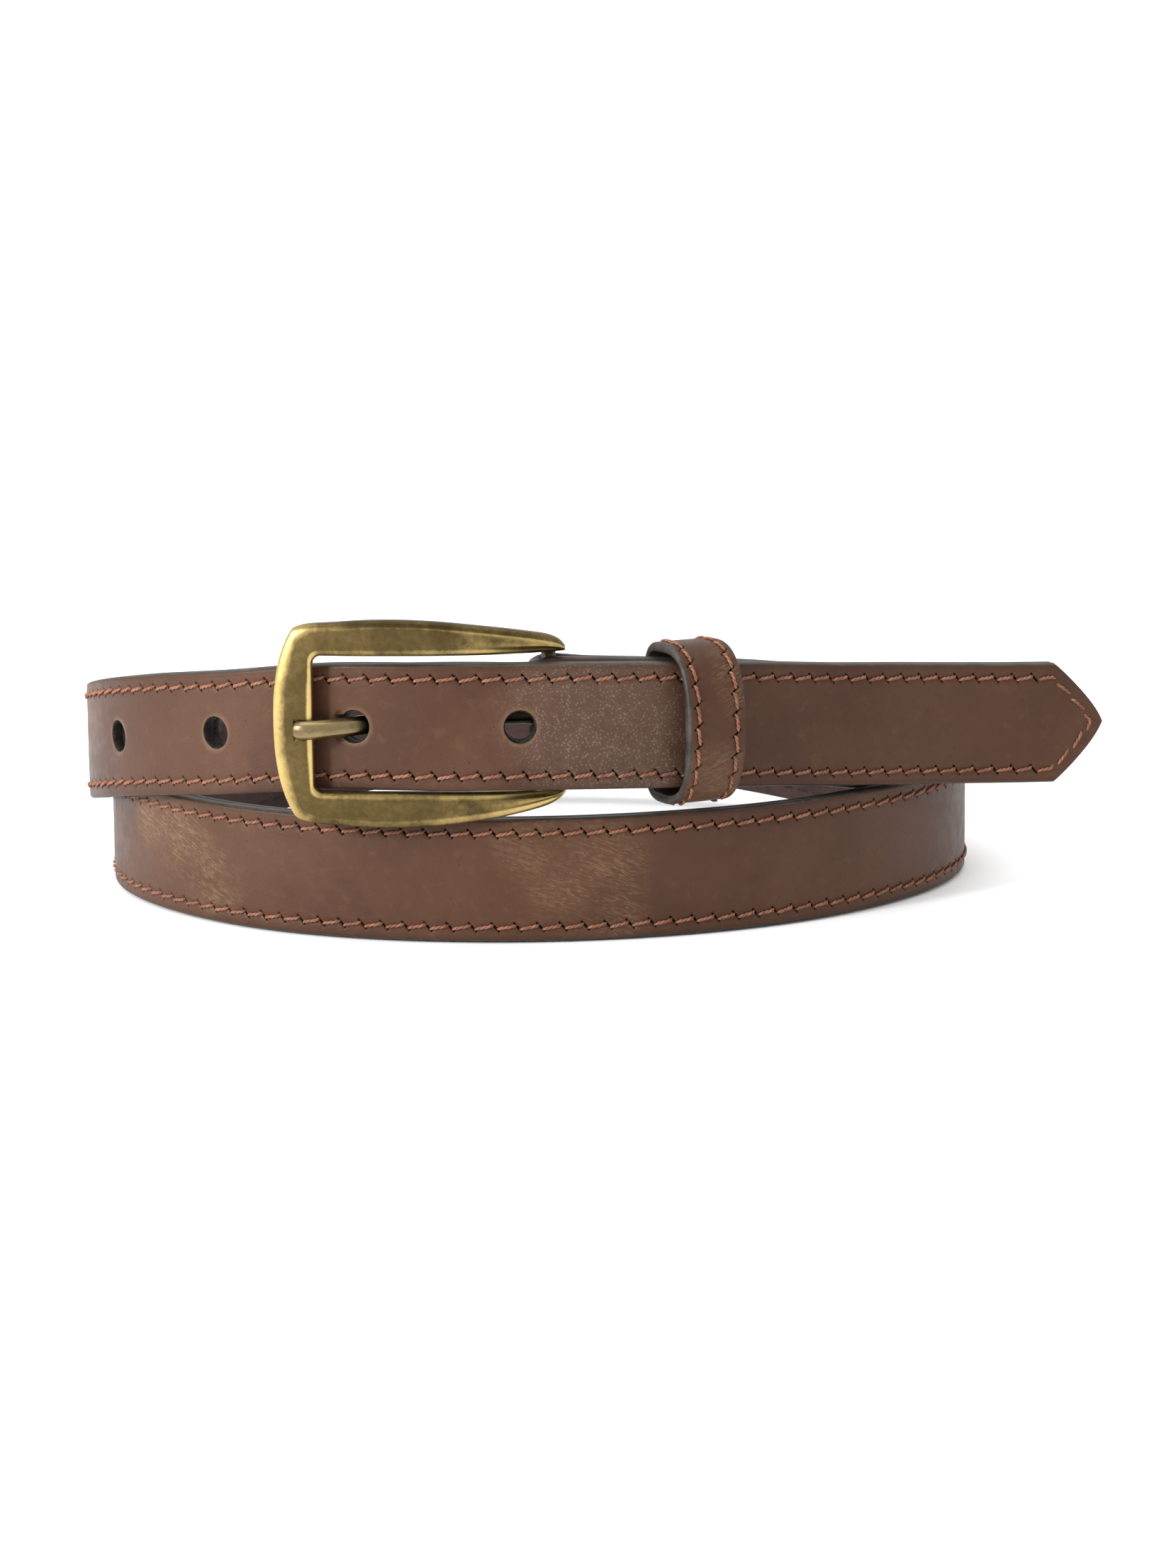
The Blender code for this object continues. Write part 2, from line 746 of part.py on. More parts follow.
def make_keeper():
    lining = keeper_layer("keeper_lining", 0.0, KEEPER_LINING_THICKNESS, materials["lining"])
    face_start = KEEPER_LINING_THICKNESS + KEEPER_LAYER_GAP
    face = keeper_layer("keeper_face", face_start, KEEPER_FACE_THICKNESS, materials["leather"])
    wall = face_start + KEEPER_FACE_THICKNESS
    centre, along, inwards, up = keeper_axes()
    back = centre + inwards * (KEEPER_BACK[0] + wall + GAP + STAPLE_WIRE_RADIUS)
    leg = wall + GAP + STAPLE_WIRE_RADIUS - 0.4
    make_staple(back, inwards, up, leg)
    for side in (1, -1):
        place = back + up * side * STAPLE_HALF_SPAN
        mesh = cylinder_mesh("staple_hole", STAPLE_WIRE_RADIUS + GAP, 12.0, 10)
        cutter = add_cutter(f"staple_hole_{'upper' if side > 0 else 'lower'}", mesh)
        cutter.matrix_world = axes_matrix(place, inwards, along)
        cut(face, cutter)
        cut(lining, cutter)


def make_staple(crown, inwards, up, leg):
    """A bent wire across the keeper's butt joint, with its two legs through the leather."""
    curve = bpy.data.curves.new("staple_wire", "CURVE")
    curve.dimensions = "3D"
    curve.bevel_depth = STAPLE_WIRE_RADIUS * MM
    curve.bevel_resolution = 2
    curve.use_fill_caps = True
    spline = curve.splines.new("POLY")
    bend = 0.6
    span = STAPLE_HALF_SPAN
    shape = (
        (-span, leg),
        (-span, bend),
        (-span + 0.2, 0.2),
        (-span + bend, 0.0),
        (span - bend, 0.0),
        (span - 0.2, 0.2),
        (span, bend),
        (span, leg),
    )
    spline.points.add(len(shape) - 1)
    for point, (height, depth) in zip(spline.points, shape):
        place = crown - inwards * depth + up * height
        point.co = (*(Vector(place) * MM), 1.0)
    source = bpy.data.objects.new("staple_wire", curve)
    parts.objects.link(source)
    bpy.context.view_layer.update()
    graph = bpy.context.evaluated_depsgraph_get()
    mesh = bpy.data.meshes.new_from_object(source.evaluated_get(graph))
    bpy.data.objects.remove(source, do_unlink=True)
    bm = bmesh.new()
    bm.from_mesh(mesh)
    bmesh.ops.remove_doubles(bm, verts=bm.verts, dist=0.00001)
    bm.to_mesh(mesh)
    bm.free()
    mesh.materials.clear()
    add_object("keeper_staple", mesh, parts, materials["steel"])


# ---------------------------------------------------------------- assembly

clear_scene()
parts = new_collection("leather_belt")
cutters = new_collection("cutters")
materials = make_materials()
route = Route()

make_strap()
make_buckle()
make_prong()
make_rivets()
make_keeper()
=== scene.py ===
"""Looks of the leather belt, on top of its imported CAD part. Lengths are in millimetres until a mesh
is made. +Z is up, +X points towards the free tip and -Y towards the front."""

import math

import bmesh
import bpy
import numpy as np
from mathutils import Matrix, Vector


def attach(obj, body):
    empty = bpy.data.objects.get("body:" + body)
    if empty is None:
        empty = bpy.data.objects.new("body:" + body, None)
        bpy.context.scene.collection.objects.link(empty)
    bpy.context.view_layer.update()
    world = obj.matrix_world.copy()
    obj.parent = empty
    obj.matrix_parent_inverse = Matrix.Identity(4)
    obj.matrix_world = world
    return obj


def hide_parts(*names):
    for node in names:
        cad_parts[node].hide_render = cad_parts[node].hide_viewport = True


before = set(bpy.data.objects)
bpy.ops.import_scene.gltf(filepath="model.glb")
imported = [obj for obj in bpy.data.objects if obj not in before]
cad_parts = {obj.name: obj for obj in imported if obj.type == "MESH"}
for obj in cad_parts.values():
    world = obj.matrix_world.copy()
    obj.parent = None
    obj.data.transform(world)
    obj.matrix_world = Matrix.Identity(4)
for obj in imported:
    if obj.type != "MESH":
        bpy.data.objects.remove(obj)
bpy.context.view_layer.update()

MM = 0.001

# ---------------- sizes, most of them as in part.py

STRAP_WIDTH = 19.05
HALF_WIDTH = STRAP_WIDTH / 2
STRAP_THICKNESS = 3.2
LINING_DEPTH = 1.78  # from the grain to where the lining starts, with the glue line closed
FACE_DEPTH = 1.72
TIP_POINT_LENGTH = 8.6
TIP_POINT_POWER = 0.72
HOLE_COUNT = 5
HOLE_RADIUS = 2.3
HOLE_PITCH = 25.6
BUCKLED_HOLE = 4
BUCKLED_HOLE_TO_TIP = 129.3
KEEPER_TO_TIP = 74.2
BAR_RADIUS = 1.1
BAR_TO_CLOSED_SIDE = 41.75
FRAME_THICKNESS = 2.6
FRAME_BOW = (  # distance from the closed side, and how far the frame's middle is ahead of the bar
    (0.0, 3.5), (3.0, 4.2), (6.5, 4.8), (12.0, 5.7), (18.0, 6.2),
    (30.0, 6.3), (35.5, 5.4), (40.0, 3.8), (44.4, 1.8),
)
FRAME_EDGE = (  # the outer edge of its upper half: distance from the closed side, and height
    (0.0, 0.0), (0.08, 3.3), (0.38, 6.3), (0.95, 9.2), (1.8, 11.8), (2.6, 13.5),
    (3.25, 14.4), (4.3, 14.9), (8.5, 15.4), (12.6, 15.7), (17.0, 15.85), (21.5, 15.75),
    (26.0, 15.45), (30.5, 14.95), (35.0, 14.35), (39.5, 13.55), (42.4, 12.75), (43.7, 11.9),
)
FRAME_LEG_STATIONS = 7  # of those, the ones beside the left leg
FRAME_NOSE = (44.3, 11.1)
OPENING_HALF_HEIGHT = 10.4
INNER_SIDE = 6.2
INNER_CORNER_RADIUS = 1.3
LUG_RADIUS = 2.0
LUG_HEIGHT = 1.3
BAR_HALF_LENGTH = 11.3
PRONG_WIDTH = 2.9
PRONG_THICKNESS = 1.6
PRONG_LIFT = 0.9  # its loop sits above the bar's middle
PRONG_TILT = 0.045  # and it falls towards its point
PRONG_LINE = (  # its middle in plan from the point to the bar, as offsets from the bar
    (-38.5, -6.2), (-35.7, -6.65), (-33.6, -5.95), (-30.0, -4.33),
    (-26.0, -2.72), (-21.5, -1.8), (-8.0, -2.05), (0.0, -2.2),
)
PRONG_SLANT = ((-23.0, -1.48), (-34.6, -6.2))  # the ends of its slant through the strap, as such offsets
PRONG_SLOT_HALF = 1.75  # half height of the slots that it passes through
PRONG_DROP = 0.15  # how much lower it lies beside the hole

GAP = 0.3  # between the prong's loop and the bar
FOLD_RADIUS = 3.1
LAYER_STEP = 4.6
TURN_BACK_LENGTH = 45.0
TURN_BACK_OFFSET = 3.5
CLOSING_LENGTH = 7.5
RIVET_DISTANCES = (12.0, 38.0)
FREE_END = 620.0  # the distance from which the strap spreads downwards
FREE_END_SPREAD = 0.3  # and how far
FOLD_NARROWING = 0.075  # part of the strap's width
KEEPER_WIDTH = 10.0
KEEPER_OUTER = ((8.6, 12.45, 2.35), (6.5, 12.45, 3.6))  # depth, half height and squareness: front, back
KEEPER_INNER = ((7.05, 10.9, 3.0), (5.0, 10.9, 6.0))
KEEPER_JOINT = 0.2  # half the gap between its ends

COIL_CENTRE = (-7.95, -1.66)
BAR_ANGLE = -87.2
TIP_ANGLE = 708.3
ROUTE = (  # angle round the coil's centre, radius, and height of the strap's lower edge
    (-102, 59.0, 24.8), (-90, 57.2, 24.7), (-75, 55.2, 23.85), (-60, 54.3, 22.55), (-50, 55.1, 21.45),
    (-35, 59.3, 18.9), (-15, 63.8, 14.6), (10, 65.4, 10.6), (35, 64.2, 7.8), (60, 62.3, 6.2),
    (90, 61.6, 5.2), (120, 63.6, 3.6), (145, 67.6, 1.2), (165, 70.1, 0.0), (180, 70.9, 0.0),
    (195, 69.9, 0.0), (210, 67.3, 0.0), (225, 64.7, 0.0), (240, 61.9, 0.0), (255, 59.6, 0.0),
    (270, 58.4, 0.0), (285, 58.3, 0.0), (300, 59.5, 0.0), (315, 61.8, 0.0), (330, 64.9, 0.0),
    (345, 68.5, 0.0), (360, 70.9, 0.0), (375, 71.0, 0.0), (395, 69.3, 1.0), (420, 66.6, 3.2),
    (450, 65.6, 5.6), (480, 68.2, 6.8), (505, 72.8, 8.2), (520, 74.9, 9.4), (530, 75.4, 10.6),
    (540, 74.9, 12.6), (555, 73.55, 16.1), (570, 70.8, 19.3), (585, 67.5, 21.6), (600, 65.3, 23.75),
    (615, 63.7, 24.3), (630, 61.8, 24.3), (645, 59.8, 23.7), (660, 58.9, 22.6), (670, 59.7, 21.7),
    (680, 62.3, 20.6), (690, 67.5, 19.6), (700, 77.0, 18.3), (709, 94.6, 17.2),
)

STITCH_PITCH = 3.47
KEEPER_PITCH = 3.3
KEEPER_SEAM = 3.3
SEAM_INSET = 2.25
SEAM = HALF_WIDTH - SEAM_INSET
SLIT_SLANT = -0.9  # along the strap, for each millimetre across it
SLIT_HALF_WIDTH = 0.17
SLIT_HALF_LENGTH = 0.78
SLIT_DEPTH = 0.7
THREAD_SUNK = 0.42  # depth of a stitch's ends in their slits
FRONT_THREAD = {"rings": 15, "sides": 8, "rise": 0.36, "lift": 0.12, "radius": 0.27}
KEEPER_THREAD = {**FRONT_THREAD, "rise": 0.3}
BACK_THREAD = {"rings": 7, "sides": 6, "rise": 0.05, "lift": 0.05, "radius": 0.2}
UP = np.array((0.0, 0.0, 1.0))


# ---------------- helpers


def natural_spline(knots, values, where):
    """Natural cubic spline through the knots, evaluated at every position in where."""
    knots = np.asarray(knots, float)
    values = np.asarray(values, float)
    steps = np.diff(knots)
    slopes = np.diff(values) / steps
    system = np.eye(len(knots))
    right = np.zeros(len(knots))
    for i in range(1, len(knots) - 1):
        system[i, i - 1 : i + 2] = steps[i - 1], 2 * (steps[i - 1] + steps[i]), steps[i]
        right[i] = 6 * (slopes[i] - slopes[i - 1])
    bend = np.linalg.solve(system, right)
    i = np.clip(np.searchsorted(knots, where) - 1, 0, len(steps) - 1)
    t = where - knots[i]
    h = steps[i]
    linear = slopes[i] - h * (2 * bend[i] + bend[i + 1]) / 6
    return values[i] + t * linear + t**2 * bend[i] / 2 + t**3 * (bend[i + 1] - bend[i]) / (6 * h)


def smooth(x):
    x = np.clip(x, 0.0, 1.0)
    return x * x * (3 - 2 * x)


def scatter(*seeds):
    """A fixed pseudo-random number from 0 to 1 for each set of seeds."""
    value = math.sin(sum(s * k for s, k in zip(seeds, (12.9898, 78.233, 37.719)))) * 43758.5453
    return value - math.floor(value)


class Route:
    """The strap's grain face by distance from the heel bar."""

    def __init__(self):
        knots, radii, heights = zip(*ROUTE)
        angles = np.linspace(BAR_ANGLE, TIP_ANGLE, 6000)
        radius = natural_spline(knots, radii, angles)
        height = np.maximum(natural_spline(knots, heights, angles), 0.0)
        turn = np.radians(angles)
        x = COIL_CENTRE[0] + radius * np.cos(turn)
        y = COIL_CENTRE[1] + radius * np.sin(turn)
        self.points = np.column_stack((x, y, height))
        lengths = np.linalg.norm(np.diff(self.points, axis=0), axis=1)
        self.distances = np.concatenate(([0.0], np.cumsum(lengths)))
        self.length = self.distances[-1]
        self.headings = np.unwrap(np.arctan2(np.gradient(y), np.gradient(x)))

    def at(self, distance):
        """Lower edge, level direction of travel, and level direction inwards."""
        place = np.array([np.interp(distance, self.distances, self.points[:, i]) for i in range(3)])
        heading = np.interp(distance, self.distances, self.headings)
        along = np.array((math.cos(heading), math.sin(heading), 0.0))
        inwards = np.array((-along[1], along[0], 0.0))
        return place, along, inwards


route = Route()


def bar_centre():
    place, _, inwards = route.at(0.0)
    return place + inwards * FOLD_RADIUS + UP * HALF_WIDTH


def prong_centre(ahead=0.0):
    """The middle of the prong's height, at the bar or some way ahead of it."""
    return bar_centre() + np.array((-ahead, 0.0, PRONG_LIFT - PRONG_TILT * ahead))


def half_width(distance):
    left = route.length - distance
    if left >= TIP_POINT_LENGTH:
        return HALF_WIDTH
    return HALF_WIDTH * max(left / TIP_POINT_LENGTH, 0.0) ** TIP_POINT_POWER


def hole_distances():
    first = route.length - BUCKLED_HOLE_TO_TIP - (BUCKLED_HOLE - 1) * HOLE_PITCH
    return [first + i * HOLE_PITCH for i in range(HOLE_COUNT)]


def link(name, mesh, materials=()):
    obj = bpy.data.objects.new(name, mesh)
    bpy.context.scene.collection.objects.link(obj)
    for material in materials:
        mesh.materials.append(material)
    return obj


def add_layer(mesh, label, values):
    """Keeps two numbers for each vertex, as a UV layer."""
    loops = np.empty(len(mesh.loops), np.int32)
    mesh.loops.foreach_get("vertex_index", loops)
    layer = mesh.uv_layers.new(name=label)
    layer.data.foreach_set("uv", np.asarray(values, np.float32).reshape(-1, 2)[loops].ravel())


def grid_mesh(name, rings, uv=None, masks=None, slots=None):
    """A closed mesh through rings of points in millimetres.

    uv and masks hold two numbers for each point of each ring. slots holds a material index for each
    side of the ring, and its first one is the caps'.
    """
    rings = np.asarray(rings, float)
    count, size = rings.shape[:2]
    slots = slots or [0] * size
    faces, slot_of = [], []
    for j in range(count - 1):
        for i in range(size):
            k = (i + 1) % size
            faces.append((j * size + i, j * size + k, (j + 1) * size + k, (j + 1) * size + i))
            slot_of.append(slots[i])
    faces.append(tuple(range(size))[::-1])
    faces.append(tuple((count - 1) * size + i for i in range(size)))
    slot_of += slots[:1] * 2
    mesh = bpy.data.meshes.new(name)
    mesh.from_pydata((rings.reshape(-1, 3) * MM).tolist(), [], faces)
    mesh.polygons.foreach_set("material_index", slot_of)
    for label, values in (("strap", uv), ("mask", masks)):
        if values is not None:
            add_layer(mesh, label, values)
    mesh.shade_smooth()
    mesh.update()
    return outward(mesh)


def outward(mesh):
    """Turns a closed mesh's faces outwards."""
    bm = bmesh.new()
    bm.from_mesh(mesh)
    bmesh.ops.recalc_face_normals(bm, faces=bm.faces)
    bm.to_mesh(mesh)
    bm.free()
    return mesh


def add_cutter(name, mesh, *materials):
    obj = link(name, mesh, materials)
    obj.hide_render = True
    obj.display_type = "WIRE"
    return obj


def cut(obj, cutter):
    modifier = obj.modifiers.new("cut", "BOOLEAN")
    modifier.operation = "DIFFERENCE"
    modifier.object = cutter
    modifier.solver = "EXACT"
    modifier.material_mode = "TRANSFER"


def settle(obj, *cutters):
    """Applies the modifiers and deletes the cutters."""
    bpy.context.view_layer.update()
    graph = bpy.context.evaluated_depsgraph_get()
    mesh = bpy.data.meshes.new_from_object(obj.evaluated_get(graph))
    obj.modifiers.clear()
    obj.data = mesh
    for cutter in cutters:
        bpy.data.objects.remove(cutter, do_unlink=True)


def turned_mesh(name, profile, matrix, steps=48):
    """A piece turned about the matrix's Z from (radius, height) points, closed at both ends."""
    rings = []
    for radius, height in profile:
        ring = []
        for turn in np.linspace(0, 2 * math.pi, steps, endpoint=False):
            place = Vector((radius * math.cos(turn), radius * math.sin(turn), height))
            ring.append(matrix @ place)
        rings.append(ring)
    return grid_mesh(name, rings)


def axes_matrix(place, out, along):
    """+Z points out, +X runs along, and the origin is at place, in millimetres."""
    z = Vector(out).normalized()
    x = Vector(along).normalized()
    matrix = Matrix((x, z.cross(x), z)).transposed().to_4x4()
    matrix.translation = Vector(place)
    return matrix


def grain_axes(distance):
    """Axes at the middle of the grain: +Z out of it, and +X towards the tip."""
    place, along, inwards = route.at(distance)
    return axes_matrix(place + UP * HALF_WIDTH, -inwards, along)


# ---------------- materials

DARK = (0.05, 0.0205, 0.0108, 1.0)
WARM = (0.074, 0.0325, 0.0175, 1.0)
TAN = (0.16, 0.088, 0.042, 1.0)
CREASE = (0.26, 0.16, 0.085, 1.0)
# The next two colours are painted highlight: lighter dots and a pale sheen.
SHEEN_SPECK = (0.26, 0.19, 0.15, 1.0)
SHEEN_HAZE = (0.108, 0.07, 0.05, 1.0)
RING = (0.13, 0.072, 0.038, 1.0)


class Shader:
    """A Principled material and short ways to add nodes to it."""

    def __init__(self, name, **sockets):
        self.material = bpy.data.materials.new(name)
        self.material.use_nodes = True
        self.tree = self.material.node_tree
        self.bsdf = self.tree.nodes["Principled BSDF"]
        for socket, value in sockets.items():
            self.bsdf.inputs[socket.replace("_", " ")].default_value = value

    def node(self, kind, **inputs):
        made = self.tree.nodes.new(kind)
        for name, value in inputs.items():
            self.feed(made.inputs[name.replace("_", " ")], value)
        return made

    def feed(self, socket, value):
        if isinstance(value, bpy.types.NodeSocket):
            self.tree.links.new(value, socket)
        else:
            socket.default_value = value

    def math(self, operation, *values):
        made = self.tree.nodes.new("ShaderNodeMath")
        made.operation = operation
        for socket, value in zip(made.inputs, values):
            self.feed(socket, value)
        return made.outputs[0]

    def plus(self, first, second):
        return self.math("ADD", first, second)

    def minus(self, first, second):
        return self.math("SUBTRACT", first, second)

    def times(self, first, second):
        return self.math("MULTIPLY", first, second)

    def ramp(self, value, low, high, to_low=0.0, to_high=1.0):
        made = self.tree.nodes.new("ShaderNodeMapRange")
        made.interpolation_type = "SMOOTHSTEP"
        for socket, number in zip(made.inputs, (value, low, high, to_low, to_high)):
            self.feed(socket, number)
        return made.outputs[0]

    def mix(self, factor, first, second):
        made = self.tree.nodes.new("ShaderNodeMix")
        made.data_type = "RGBA"
        for socket, value in zip((0, 6, 7), (factor, first, second)):
            self.feed(made.inputs[socket], value)
        return made.outputs[2]

    def noise(self, vector, scale, detail=3.0, roughness=0.5, distortion=0.0):
        inputs = {"Vector": vector, "Scale": scale, "Detail": detail, "Roughness": roughness}
        return self.node("ShaderNodeTexNoise", **inputs, Distortion=distortion).outputs[0]

    def voronoi(self, vector, scale):
        return self.node("ShaderNodeTexVoronoi", Vector=vector, Scale=scale).outputs["Distance"]

    def stretched(self, vector, scale, location):
        return self.node("ShaderNodeMapping", Vector=vector, Scale=scale, Location=location).outputs[0]

    def turned(self, vector, angle):
        rotation = (0.0, 0.0, math.radians(angle))
        return self.node("ShaderNodeMapping", Vector=vector, Rotation=rotation).outputs[0]

    def uv(self, name):
        made = self.tree.nodes.new("ShaderNodeUVMap")
        made.uv_map = name
        return made.outputs[0]

    def object_place(self):
        return self.tree.nodes.new("ShaderNodeTexCoord").outputs["Object"]

    def split(self, vector):
        made = self.tree.nodes.new("ShaderNodeSeparateXYZ")
        self.tree.links.new(vector, made.inputs[0])
        return made.outputs

    def bump(self, height, distance, strength):
        return self.node("ShaderNodeBump", Height=height, Strength=strength, Distance=distance).outputs[0]

    def drive(self, socket, value):
        self.tree.links.new(value, self.bsdf.inputs[socket])


def patch(shader, s, v, middle, reach, across, tall):
    """A soft oval on the strap, in millimetres: 1 in its middle and 0 beyond its reach."""
    ds = shader.math("DIVIDE", shader.minus(s, middle * MM), reach * MM)
    dv = shader.math("DIVIDE", shader.minus(v, across * MM), tall * MM)
    return shader.ramp(shader.plus(shader.times(ds, ds), shader.times(dv, dv)), 0.0, 1.0, 1.0, 0.0)


def shade(colour, factor):
    return (*[min(1.0, c * factor) for c in colour[:3]], 1.0)


def any_patch(shader, s, v, places):
    """The strongest of the soft ovals."""
    found = patch(shader, s, v, *places[0])
    for place in places[1:]:
        found = shader.math("MAXIMUM", found, patch(shader, s, v, *place))
    return found


def grain_material(name, creases, sheen_patches, angle, holes=True):
    """Waxed pull-up leather: slightly uneven brown, pores, and fine tan creases where it was bent.

    creases and the patches of painted highlight are soft ovals: distance along, reach, place across and
    height.
    """
    sh = Shader(name, Roughness=0.45, Specular_IOR_Level=0.17)
    place = sh.uv("strap")
    s, v, _ = sh.split(place)
    cloud = sh.noise(place, 34.0, 3.0, 0.55, 0.4)
    mottle = sh.noise(place, 420.0, 5.0, 0.62, 0.3)
    fine = sh.noise(place, 2200.0, 3.0, 0.6)
    colour = sh.mix(sh.ramp(cloud, 0.3, 0.7), DARK, WARM)
    colour = sh.mix(sh.ramp(mottle, 0.5, 0.78, 0.0, 0.16), colour, TAN)
    colour = sh.mix(sh.ramp(mottle, 0.25, 0.46, 0.3, 0.0), colour, shade(DARK, 0.7))
    worn = any_patch(sh, s, v, creases)
    worn = sh.times(worn, sh.ramp(sh.noise(place, 110.0, 2.0, 0.5), 0.25, 0.8, 0.15, 1.0))
    slanted = sh.turned(place, angle)
    lines = None
    for stretch, scale, wander in ((11.0, 170.0, 0.4), (6.0, 300.0, 0.8)):
        moved = sh.stretched(slanted, (1.0, stretch, 1.0), (0.01 * scale, 0.0, 0.0))
        streaks = sh.noise(moved, scale, 2.0, 0.5, wander)
        one = sh.ramp(sh.math("ABSOLUTE", sh.minus(streaks, 0.5)), 0.0, 0.04, 1.0, 0.0)
        lines = one if lines is None else sh.math("MAXIMUM", lines, one)
    broken = sh.ramp(sh.noise(place, 800.0, 2.0, 0.6), 0.3, 0.55, 0.15, 1.0)
    crease = sh.times(sh.times(lines, broken), worn)
    colour = sh.mix(sh.times(worn, 0.2), colour, TAN)
    colour = sh.mix(sh.times(crease, 0.6), colour, CREASE)
    cells = sh.voronoi(place, 2300.0)
    # Painted highlight: a pale sheen over the mottling in the given patches, and lighter dots on the tops
    # of the bumps.
    sheen_spots = sh.times(any_patch(sh, s, v, sheen_patches), sh.ramp(mottle, 0.3, 0.7, 0.55, 1.0))
    dots = sh.ramp(cells, 0.15, 0.42, 1.0, 0.0)
    colour = sh.mix(sh.times(sheen_spots, 0.5), colour, SHEEN_HAZE)
    colour = sh.mix(sh.times(sh.times(dots, sheen_spots), 0.45), colour, SHEEN_SPECK)
    pores = sh.ramp(sh.voronoi(place, 900.0), 0.07, 0.2, 1.0, 0.0)
    pores = sh.times(pores, sh.ramp(cloud, 0.5, 0.66, 0.0, 0.6))
    colour = sh.mix(sh.times(pores, sh.minus(1.0, sheen_spots)), colour, shade(DARK, 0.4))
    if holes:
        buckled = (route.length - BUCKLED_HOLE_TO_TIP) * MM
        cell = sh.plus(sh.math("DIVIDE", sh.minus(s, buckled), HOLE_PITCH * MM), 50.5)
        ds = sh.times(sh.minus(sh.math("FRACT", cell), 0.5), HOLE_PITCH * MM)
        square = sh.plus(sh.times(ds, ds), sh.times(v, v))
        uneven = sh.times(sh.minus(mottle, 0.5), 0.0009)
        near = sh.plus(sh.math("SQRT", square), uneven)
        from_holes = sh.math("ABSOLUTE", sh.minus(s, buckled - HOLE_PITCH * MM))
        at_holes = sh.math("LESS_THAN", from_holes, 2.5 * HOLE_PITCH * MM)
        ring = sh.times(sh.ramp(near, 0.0026, 0.0034, 1.0, 0.0), at_holes)
        colour = sh.mix(sh.times(ring, 0.55), colour, RING)
    slit_shade, edge, _ = sh.split(sh.uv("mask"))
    colour = sh.mix(sh.times(edge, 0.3), colour, shade(DARK, 0.6))
    # Near black inside the seams' slits: painted shade.
    colour = sh.mix(slit_shade, colour, (0.003, 0.002, 0.0015, 1.0))
    sh.drive("Base Color", colour)
    rough = sh.plus(sh.ramp(mottle, 0.3, 0.7, 0.38, 0.5), sh.times(crease, 0.1))
    sh.drive("Roughness", rough)
    pebble = sh.voronoi(place, 2900.0)
    height = sh.plus(sh.times(pebble, 0.4), sh.times(fine, 0.5))
    height = sh.plus(height, sh.times(mottle, 0.7))
    height = sh.minus(height, sh.times(crease, 0.7))
    sh.drive("Normal", sh.bump(height, 0.00006, 0.7))
    return sh.material


def edge_material():
    sh = Shader("painted_edge", Roughness=0.5, Specular_IOR_Level=0.3)
    place = sh.uv("strap")
    wear = sh.noise(place, 260.0, 4.0, 0.6)
    colour = sh.mix(sh.ramp(wear, 0.35, 0.7), (0.024, 0.019, 0.016, 1.0), (0.05, 0.041, 0.034, 1.0))
    rub = sh.ramp(sh.noise(place, 900.0, 3.0, 0.6), 0.66, 0.74, 0.0, 0.5)
    colour = sh.mix(rub, colour, (0.08, 0.055, 0.042, 1.0))
    sh.drive("Base Color", colour)
    sh.drive("Normal", sh.bump(sh.noise(place, 1400.0, 3.0, 0.6), 0.00006, 0.5))
    return sh.material


def lining_material():
    sh = Shader("lining", Roughness=0.62, Specular_IOR_Level=0.15)
    place = sh.uv("strap")
    cloud = sh.noise(place, 120.0, 4.0, 0.55, 0.4)
    fine = sh.noise(place, 1800.0, 3.0, 0.6)
    colour = sh.mix(sh.ramp(cloud, 0.3, 0.7), (0.034, 0.018, 0.017, 1.0), (0.056, 0.031, 0.028, 1.0))
    colour = sh.mix(sh.ramp(fine, 0.3, 0.7, 0.0, 0.3), colour, (0.08, 0.05, 0.044, 1.0))
    sh.drive("Base Color", colour)
    pebble = sh.plus(sh.voronoi(place, 1900.0), fine)
    sh.drive("Normal", sh.bump(pebble, 0.00006, 0.6))
    return sh.material


def two_tone_material(name, scale, low, high, dark, light, **sockets):
    """A plain material that wanders between two colours, over that range of its noise."""
    sh = Shader(name, **sockets)
    tone = sh.noise(sh.object_place(), scale, 3.0, 0.6)
    sh.drive("Base Color", sh.mix(sh.ramp(tone, low, high), dark, light))
    return sh.material


def thread_material(name, dark, light):
    sh = Shader(name, Roughness=0.75, Specular_IOR_Level=0.3)
    tone = sh.noise(sh.object_place(), 900.0, 3.0, 0.6)
    strand, _, _ = sh.split(sh.uv("mask"))
    colour = sh.mix(sh.ramp(tone, 0.3, 0.7), dark, light)
    # Darker in the grooves between the two twisted strands: painted shade.
    colour = sh.mix(sh.ramp(strand, 0.0, 0.6, 0.6, 0.0), colour, shade(dark, 0.3))
    sh.drive("Base Color", colour)
    return sh.material


